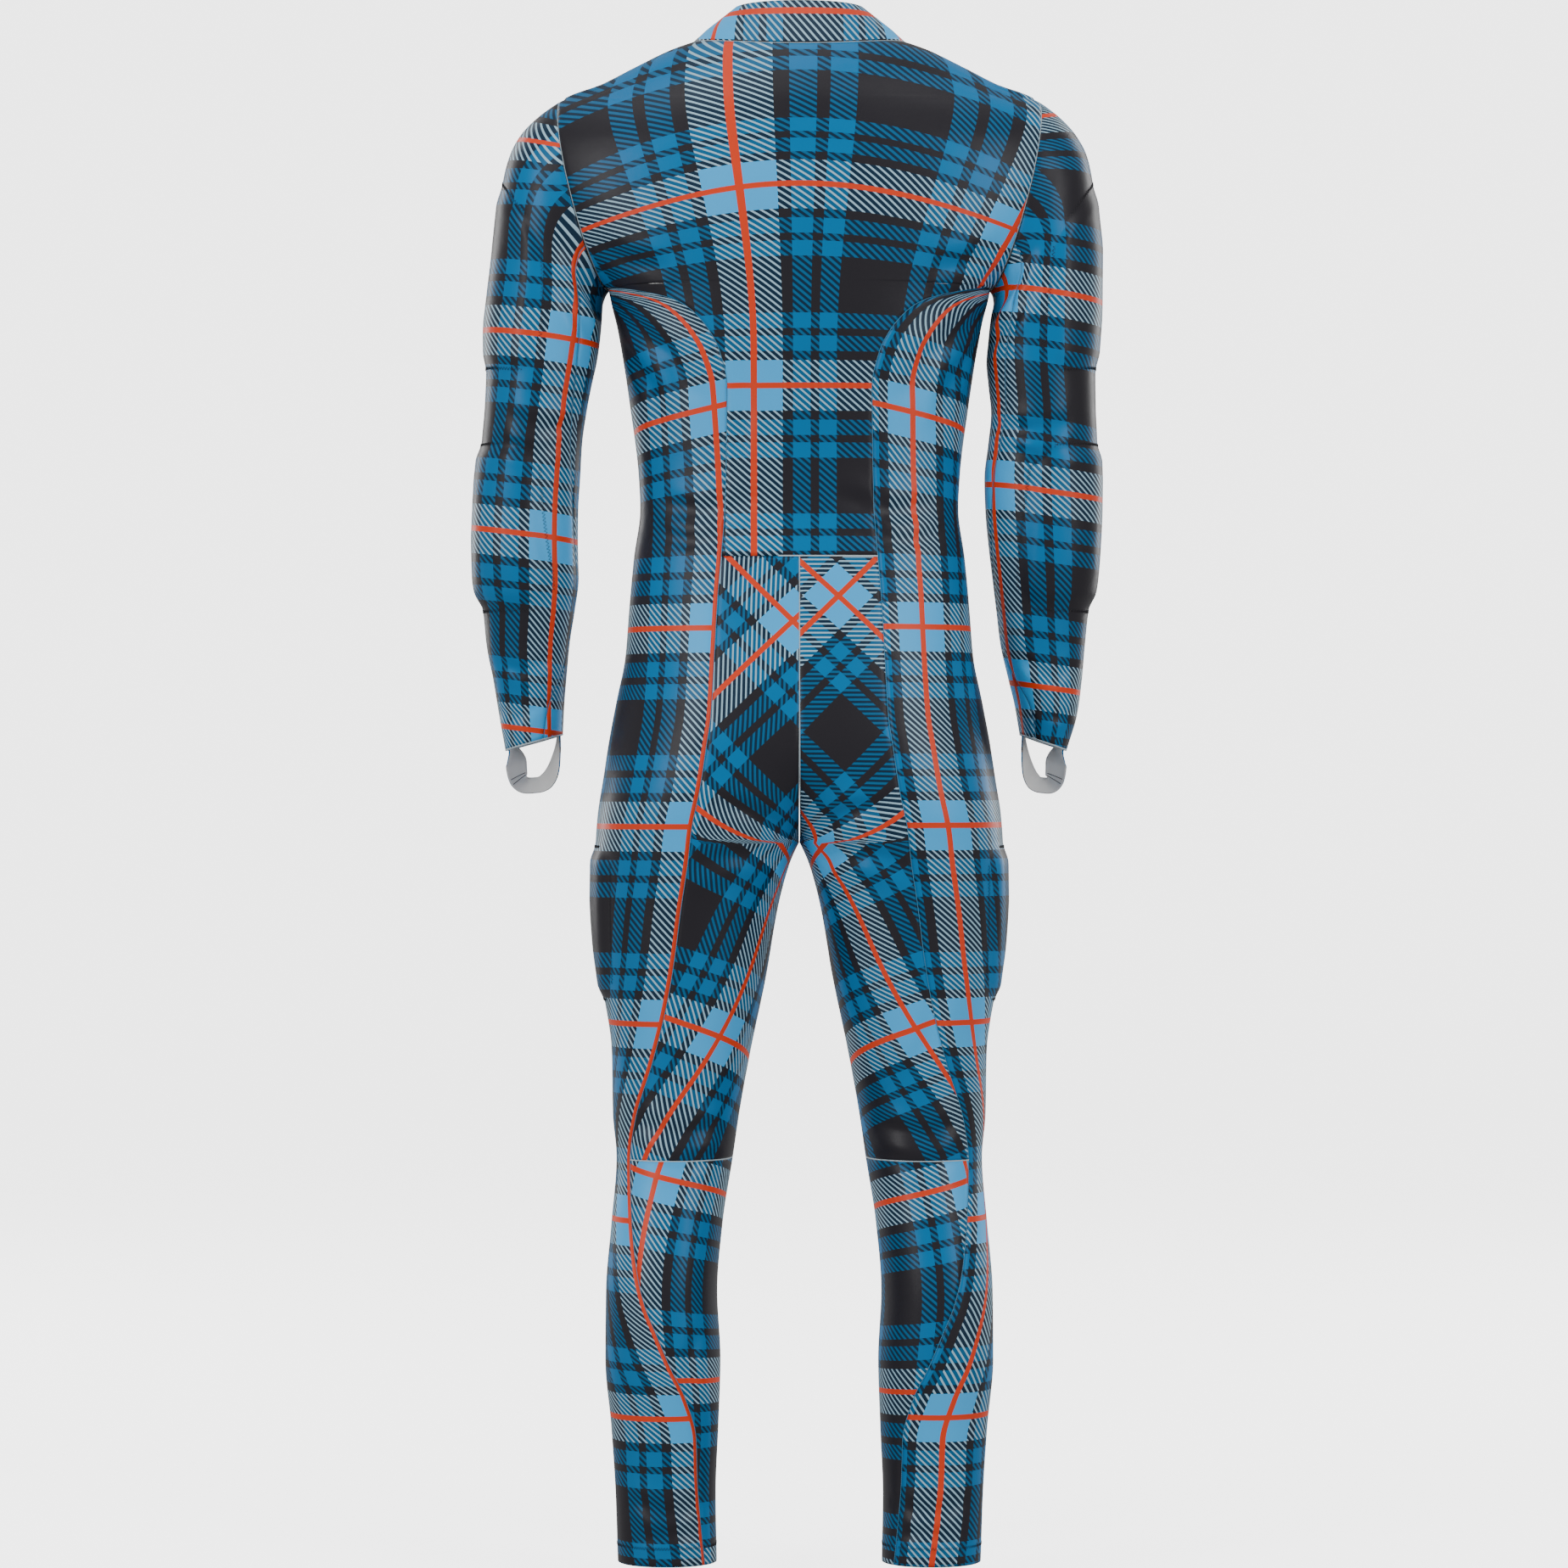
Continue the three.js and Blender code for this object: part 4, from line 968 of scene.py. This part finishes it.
def hand_loop(side):
    """A strap round the palm, printed outside and grey inside, with its sewn join."""
    out, inner, out_z, in_z, y = (SLEEVE[k][-1] for k in (f"out_{side}", f"in_{side}", "out_z", "in_z", "y"))
    w = np.linspace(0, 1, LOOP_STEPS + 1)
    s, c = np.clip(np.sin(np.pi * w), 0, None), np.cos(np.pi * w)
    width = LOOP_WIDTH + np.where(w < 0.5, *LOOP_WIDER) * np.abs(c) ** LOOP_WIDEN_POWER
    twist = np.radians(np.interp(w, *zip(*LOOP_TWIST)))
    half = (out - inner) / 2 - WALL - LOOP_CLEAR - LOOP_THICK + LOOP_BULGE * np.sqrt(s)
    half -= LOOP_TUCK * np.cos(twist) * width / 2
    x = (out + inner) / 2 + half * np.sign(c) * np.abs(c) ** LOOP_SQUARE
    z = out_z + (in_z - out_z) * w - LOOP_BELOW_CUFF - LOOP_DROP * s**LOOP_ROUND
    centre = np.stack([x, y - LOOP_FORWARD * s, z + LOOP_INTO_CUFF * np.abs(c) ** 8], -1)
    along = unit(np.gradient(centre, axis=0))
    outward = unit(np.stack([-along[:, 2], 0 * w, along[:, 0]], -1))
    across = outward * np.cos(twist)[:, None] + np.array([0, 1.0, 0]) * np.sin(twist)[:, None]
    across = unit(across - along * np.sum(across * along, axis=1, keepdims=True))
    normal = unit(np.cross(along, across))
    k = np.linspace(1, -1, 11)
    grid = centre[:, None] + across[:, None] * (k[None, :] * width[:, None] / 2)[..., None]
    grid = grid - normal[:, None] * (LOOP_ROLL * np.abs(k) ** 4)[None, :, None]
    ridge = JOIN_HEIGHT * np.exp(-(((w - JOIN_AT) / JOIN_SPREAD) ** 2))
    outer = grid + normal[:, None] * (LOOP_THICK + ridge)[:, None, None]
    printed_x = k[None] * LOOP_PRINT_HALF + LOOP_PRINT_X
    printed_z = (w * LOOP_PRINT_LENGTH + LOOP_PRINT_Z)[:, None]
    uv = np.stack(np.broadcast_arrays(printed_x, printed_z), -1)
    mirror = (-1, 1, 1) if side == "right" else (1, 1, 1)
    for share in JOIN_ROWS:
        i = int(share * LOOP_STEPS)
        for face, way in ((outer, 1), (grid, -1)):
            line = face[i, 1:-1]
            LOOP_JOINS.append((line * mirror, np.broadcast_to(normal[i] * way, line.shape) * mirror))
    sheets = [a.transpose(1, 0, 2) for a in (outer, grid, uv)]
    made = shell(f"hand_loop_{side}_strap", *sheets, side == "right")
    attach(made, "suit")
    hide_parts(f"hand_loop_{side}")


for side in ("left", "right"):
    hand_loop(side)

# Threads and teeth, as fine meshes on the cloth


def tube_arrays(points, normals, radius, sides=6):
    """Vertices and faces of a tube along points in millimetres."""
    tangent = unit(np.gradient(points, axis=0))
    across = unit(np.cross(tangent, normals))
    up = np.cross(across, tangent)
    turn = 2 * np.pi * np.arange(sides) / sides
    ring = across[:, None] * np.cos(turn)[None, :, None] + up[:, None] * np.sin(turn)[None, :, None]
    vertices = points[:, None] + radius * ring
    index = np.arange(len(points) * sides).reshape(-1, sides)
    a, b = index[:-1], np.roll(index[:-1], -1, 1)
    c, d = np.roll(index[1:], -1, 1), index[1:]
    return vertices.reshape(-1, 3), np.stack([a, d, c, b], -1).reshape(-1, 4)


def joined(name, parts, material):
    """One object from several lots of vertices and faces."""
    vertices, faces, count = [], [], 0
    for v, f in parts:
        vertices.append(v)
        faces.append(f + count)
        count += len(v)
    faces = np.concatenate(faces)
    made = make_mesh(name, np.concatenate(vertices), faces, [material], np.zeros(len(faces)))
    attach(made, "suit")


def edge_of(name, which, start, end):
    """Points and normals along one edge of a cloth piece, from one row or column to another."""
    grid, normal = OUTER[name]
    part = slice(start, end)
    pick = {"top": (0, part), "bottom": (-1, part), "first": (part, 0), "last": (part, -1)}[which]
    return grid[pick], normal[pick]


def thread(line, radius=0.5, sink=0.25):
    points, normals = line
    return tube_arrays(points - normals * sink, normals, radius)


tip = int(np.argmin(np.abs(TORSO_ROWS - SHOULDER_TIP)))
pit = int(np.argmin(np.abs(TORSO_ROWS - ARMPIT)))
ARMHOLE_PART, BELOW_ARMHOLE, YOKE, ALL = (tip, pit + 1), (pit, None), (0, tip), (0, None)
# Colour, piece, edge, part of the edge, and the thread's radius and sink where they aren't the usual ones
MIDDLE_THREADS = [
    ("pale", "back", "first", ARMHOLE_PART),
    ("pale", "back", "last", ARMHOLE_PART),
    ("pale", "back", "top", ALL),
    ("pale", "back", "bottom", (0, 72), 0.9, 0.1),
    ("blue", "back", "first", BELOW_ARMHOLE),
    ("blue", "back", "last", BELOW_ARMHOLE),
    ("dark", "collar", "top", ALL, 0.5, 0.5),
]
SIDE_THREADS = [
    ("dark", "front", "first", YOKE),
    ("pale", "front", "first", ARMHOLE_PART),
    ("blue", "front", "first", BELOW_ARMHOLE),
    ("pale", "front", "top", ALL),
    ("blue", "back_leg", "last", ALL),
    ("pale", "back_leg", "first", ALL),
    ("pale", "back_leg", "bottom", ALL, 0.7),
    ("blue", "calf", "last", ALL),
    ("dark", "calf", "first", ALL),
    ("blue", "under_sleeve", "first", ALL),
    ("blue", "under_sleeve", "last", ALL),
    ("pale", "upper_sleeve", "bottom", ALL, 0.95, 0.6),
    ("pale", "under_sleeve", "bottom", ALL, 0.95, 0.6),
    ("dark", "side", "bottom", ALL, 0.7, 0.7),
    ("dark", "front", "bottom", ALL, 0.7, 0.7),
    ("dark", "calf", "bottom", ALL, 0.7, 0.7),
]
threads = {"pale": [], "blue": [], "dark": []}
for rows, ending in ((MIDDLE_THREADS, ""), (SIDE_THREADS, "_left"), (SIDE_THREADS, "_right")):
    for colour, piece, which, part, *sizes in rows:
        threads[colour].append(thread(edge_of(piece + ending, which, *part), *sizes))
threads["dark"] += [thread(line, 0.35, -0.1) for line in LOOP_JOINS]


def zigzag(line, pitch=3.4, swing=1.5, radius=0.3, lift=0.15):
    """A zigzag thread along a line on the cloth."""
    points, normals = line
    length = arc(points[None], 1)[0]
    count = max(4, int(length[-1] / pitch) * 2)
    at_length = np.linspace(0, length[-1], count + 1)
    path, normal = (
        np.stack([np.interp(at_length, length, column) for column in rows.T], -1)
        for rows in (points, normals)
    )
    across = unit(np.cross(np.gradient(path, axis=0), normal))
    sway = np.where(np.arange(count + 1) % 2 == 0, swing, -swing)[:, None]
    return tube_arrays(path + across * sway + normal * lift, normal, radius, 4)


def pocket(name, row0, row1, column0, column1):
    """The outline of a pad's pocket on a piece, from ranges given as fractions."""
    grid, normal = OUTER[name]
    rows, columns = grid.shape[:2]
    r0, r1 = int(row0 * rows), int(row1 * rows)
    c0, c1 = int(column0 * (columns - 1)), int(column1 * (columns - 1))
    step_r, step_c = max(1, (r1 - r0) // 7), max(1, (c1 - c0) // 6)
    path = [(r0, c) for c in range(c0 + step_c, c1 - step_c + 1)]
    path += [(r, c1) for r in range(r0 + step_r, r1 - step_r + 1)]
    path += [(r1, c) for c in range(c1 - step_c, c0 + step_c - 1, -1)]
    path += [(r, c0) for r in range(r1 - step_r, r0 + step_r - 1, -1)]
    path.append(path[0])
    r, c = np.array(path).T
    return zigzag((grid[r, c], normal[r, c]))


def side_row(z):
    return float(np.argmin(np.abs(side_rows - z))) / len(side_rows)


# Zigzag rows that hold the pads' pockets, and the cover stitch above the ankle hems
HEM_STITCH_ROW = -5
stitches = []
for side in ("left", "right"):
    for first, last, _ in SLEEVE_PADS:
        rows = (first + 0.08) / (len(STATIONS) - 1), (last - 0.08) / (len(STATIONS) - 1)
        stitches.append(pocket(f"upper_sleeve_{side}", *rows, 2.1 / 13, 7.9 / 13))
    for top, bottom, first in ((-757, -903, 2.1), (-1023, -1177, 3.1)):
        edges = first / SIDE_COLUMNS, 5.85 / SIDE_COLUMNS
        stitches.append(pocket(f"side_{side}", side_row(top), side_row(bottom), *edges))
    for piece in ("side", "front", "calf"):
        hem = [values[HEM_STITCH_ROW, 1:-1] for values in OUTER[f"{piece}_{side}"]]
        stitches.append(zigzag(hem, 2.6, 1.2, 0.25))
THREAD_BLUE = nylon_material("thread_blue", "#2c6d94", "#5b97b8")
joined("seam_thread_pale", threads["pale"], THREAD_PALE)
joined("seam_thread_blue", threads["blue"], THREAD_BLUE)
joined("seam_thread_dark", threads["dark"] + stitches, THREAD_DARK)

# Coil teeth across the raised middle of the zip tape
TOOTH_PITCH, TOOTH_LIFT, TOOTH_SLANT = 1.7, 1.6, 0.25
TOOTH_HALF_WIDTH, TOOTH_HALF_LENGTH, TOOTH_HALF_HEIGHT = 2.2, 0.5, 0.28
SLIDER_TOP, SLIDER_BOTTOM = 31, 15
levels = np.arange(COLLAR_TOP - 2, ZIP_BOTTOM + 6, -TOOTH_PITCH)
levels = levels[(levels > SLIDER_TOP) | (levels < SLIDER_BOTTOM)]
middle = body_point(2.0, levels)
run = unit(body_point(2.0, levels - 0.5) - body_point(2.0, levels + 0.5))
face = np.cross(run, np.array([1.0, 0, 0]))
face *= np.sign(-face[:, 1:2])
box = np.array([(x, t, h) for x in (-1, 1) for t in (-1, 1) for h in (-1, 1)], float)
box_faces = np.array([(0, 1, 3, 2), (4, 6, 7, 5), (0, 4, 5, 1), (2, 3, 7, 6), (0, 2, 6, 4), (1, 5, 7, 3)])
teeth = []
for i, (m, r, f) in enumerate(zip(middle, run, face)):
    slant = TOOTH_SLANT if i % 2 else -TOOTH_SLANT
    corner = m + f * TOOTH_LIFT + box[:, :1] * np.array([TOOTH_HALF_WIDTH, 0, 0])
    corner = corner + (box[:, 1:2] * TOOTH_HALF_LENGTH + box[:, :1] * slant) * r
    teeth.append((corner + box[:, 2:] * TOOTH_HALF_HEIGHT * f, box_faces))
joined("zip_teeth", teeth, METAL)

# The zip keeps its solids and gets its looks here
for name, material in (("zip_tape", NYLON), ("zip_slider", METAL), ("zip_pull", METAL)):
    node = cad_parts[name]
    node.data.materials.clear()
    node.data.materials.append(material)

# Camera, floor and light
PIXELS, PIXEL = 1848, 0.8 * MM
ZERO_PIXEL = (942, 50)
DISTANCE = 4.6
camera = bpy.data.objects.new("camera", bpy.data.cameras.new("camera"))
bpy.context.scene.collection.objects.link(camera)
camera.data.sensor_width = 36
camera.data.lens = 36 * DISTANCE / (PIXELS * PIXEL)
camera.location = ((ZERO_PIXEL[0] - PIXELS / 2) * PIXEL, DISTANCE, (ZERO_PIXEL[1] - PIXELS / 2) * PIXEL)
camera.rotation_euler = (math.radians(90), 0, math.radians(180))
camera.data.clip_end = 60
bpy.context.scene.camera = camera

FLOOR_Z = -1.452
FLOOR_CENTRE, FLOOR_RADIUS, BEND_RADIUS, WALL_TOP = 0.0002, 7.0, 2.0, 6.0
BACKDROP_GLOW = 3.2
WORLD_LIGHT = 0.42
CHEST, TALL = (0, 0, -0.65), (0.9, 3.0)


def bowl():
    """A round floor that curves up into a wall on all sides, farther out than any camera."""
    turn = np.linspace(0, np.pi / 2, 25)
    outermost = FLOOR_RADIUS + BEND_RADIUS
    radius = np.concatenate([[FLOOR_CENTRE], FLOOR_RADIUS + BEND_RADIUS * np.sin(turn), [outermost]])
    z = np.concatenate([[FLOOR_Z], FLOOR_Z + BEND_RADIUS * (1 - np.cos(turn)), [WALL_TOP]])
    way = np.linspace(0, 2 * np.pi, 97)
    radius, z = radius[:, None], z[:, None]
    points = np.stack(np.broadcast_arrays(radius * np.cos(way), radius * np.sin(way), z), -1)
    index = np.arange(points.shape[0] * points.shape[1]).reshape(points.shape[:2])
    faces = np.stack([index[1:, :-1], index[1:, 1:], index[:-1, 1:], index[:-1, :-1]], -1).reshape(-1, 4)
    n = Nodes("backdrop")
    n.set(Base_Color=n.mix(n.noise(1.5, 2.0), linear("#fafafa"), linear("#ffffff")))
    n.set(Roughness=0.9, Emission_Color=(1, 1, 1, 1), Emission_Strength=BACKDROP_GLOW)
    made = make_mesh("backdrop", points.reshape(-1, 3) / MM, faces, [n.material], np.zeros(len(faces)))
    made.visible_diffuse = False
    made.visible_glossy = False


def area_light(name, place, size, power):
    data = bpy.data.lights.new(name, "AREA")
    data.shape = "RECTANGLE"
    data.size, data.size_y = size
    data.energy = power
    light = bpy.data.objects.new(name, data)
    light.visible_camera = False
    bpy.context.scene.collection.objects.link(light)
    light.location = place
    light.rotation_euler = (Vector(CHEST) - Vector(place)).to_track_quat("-Z", "Y").to_euler()


bowl()
world = bpy.data.worlds.new("studio")
bpy.context.scene.world = world
world.use_nodes = True
background = world.node_tree.nodes["Background"]
background.inputs[0].default_value = (1, 1, 1, 1)
background.inputs[1].default_value = WORLD_LIGHT
area_light("left_back", (2.6, 2.6, 0.4), TALL, 58)
area_light("right_back", (-2.6, 2.6, 0.4), TALL, 52)
area_light("left_front", (2.4, -2.4, 0.5), TALL, 46)
area_light("right_front", (-2.4, -2.4, 0.5), TALL, 46)
area_light("overhead", (0.3, 0.6, 3.2), (3.0, 3.0), 44)
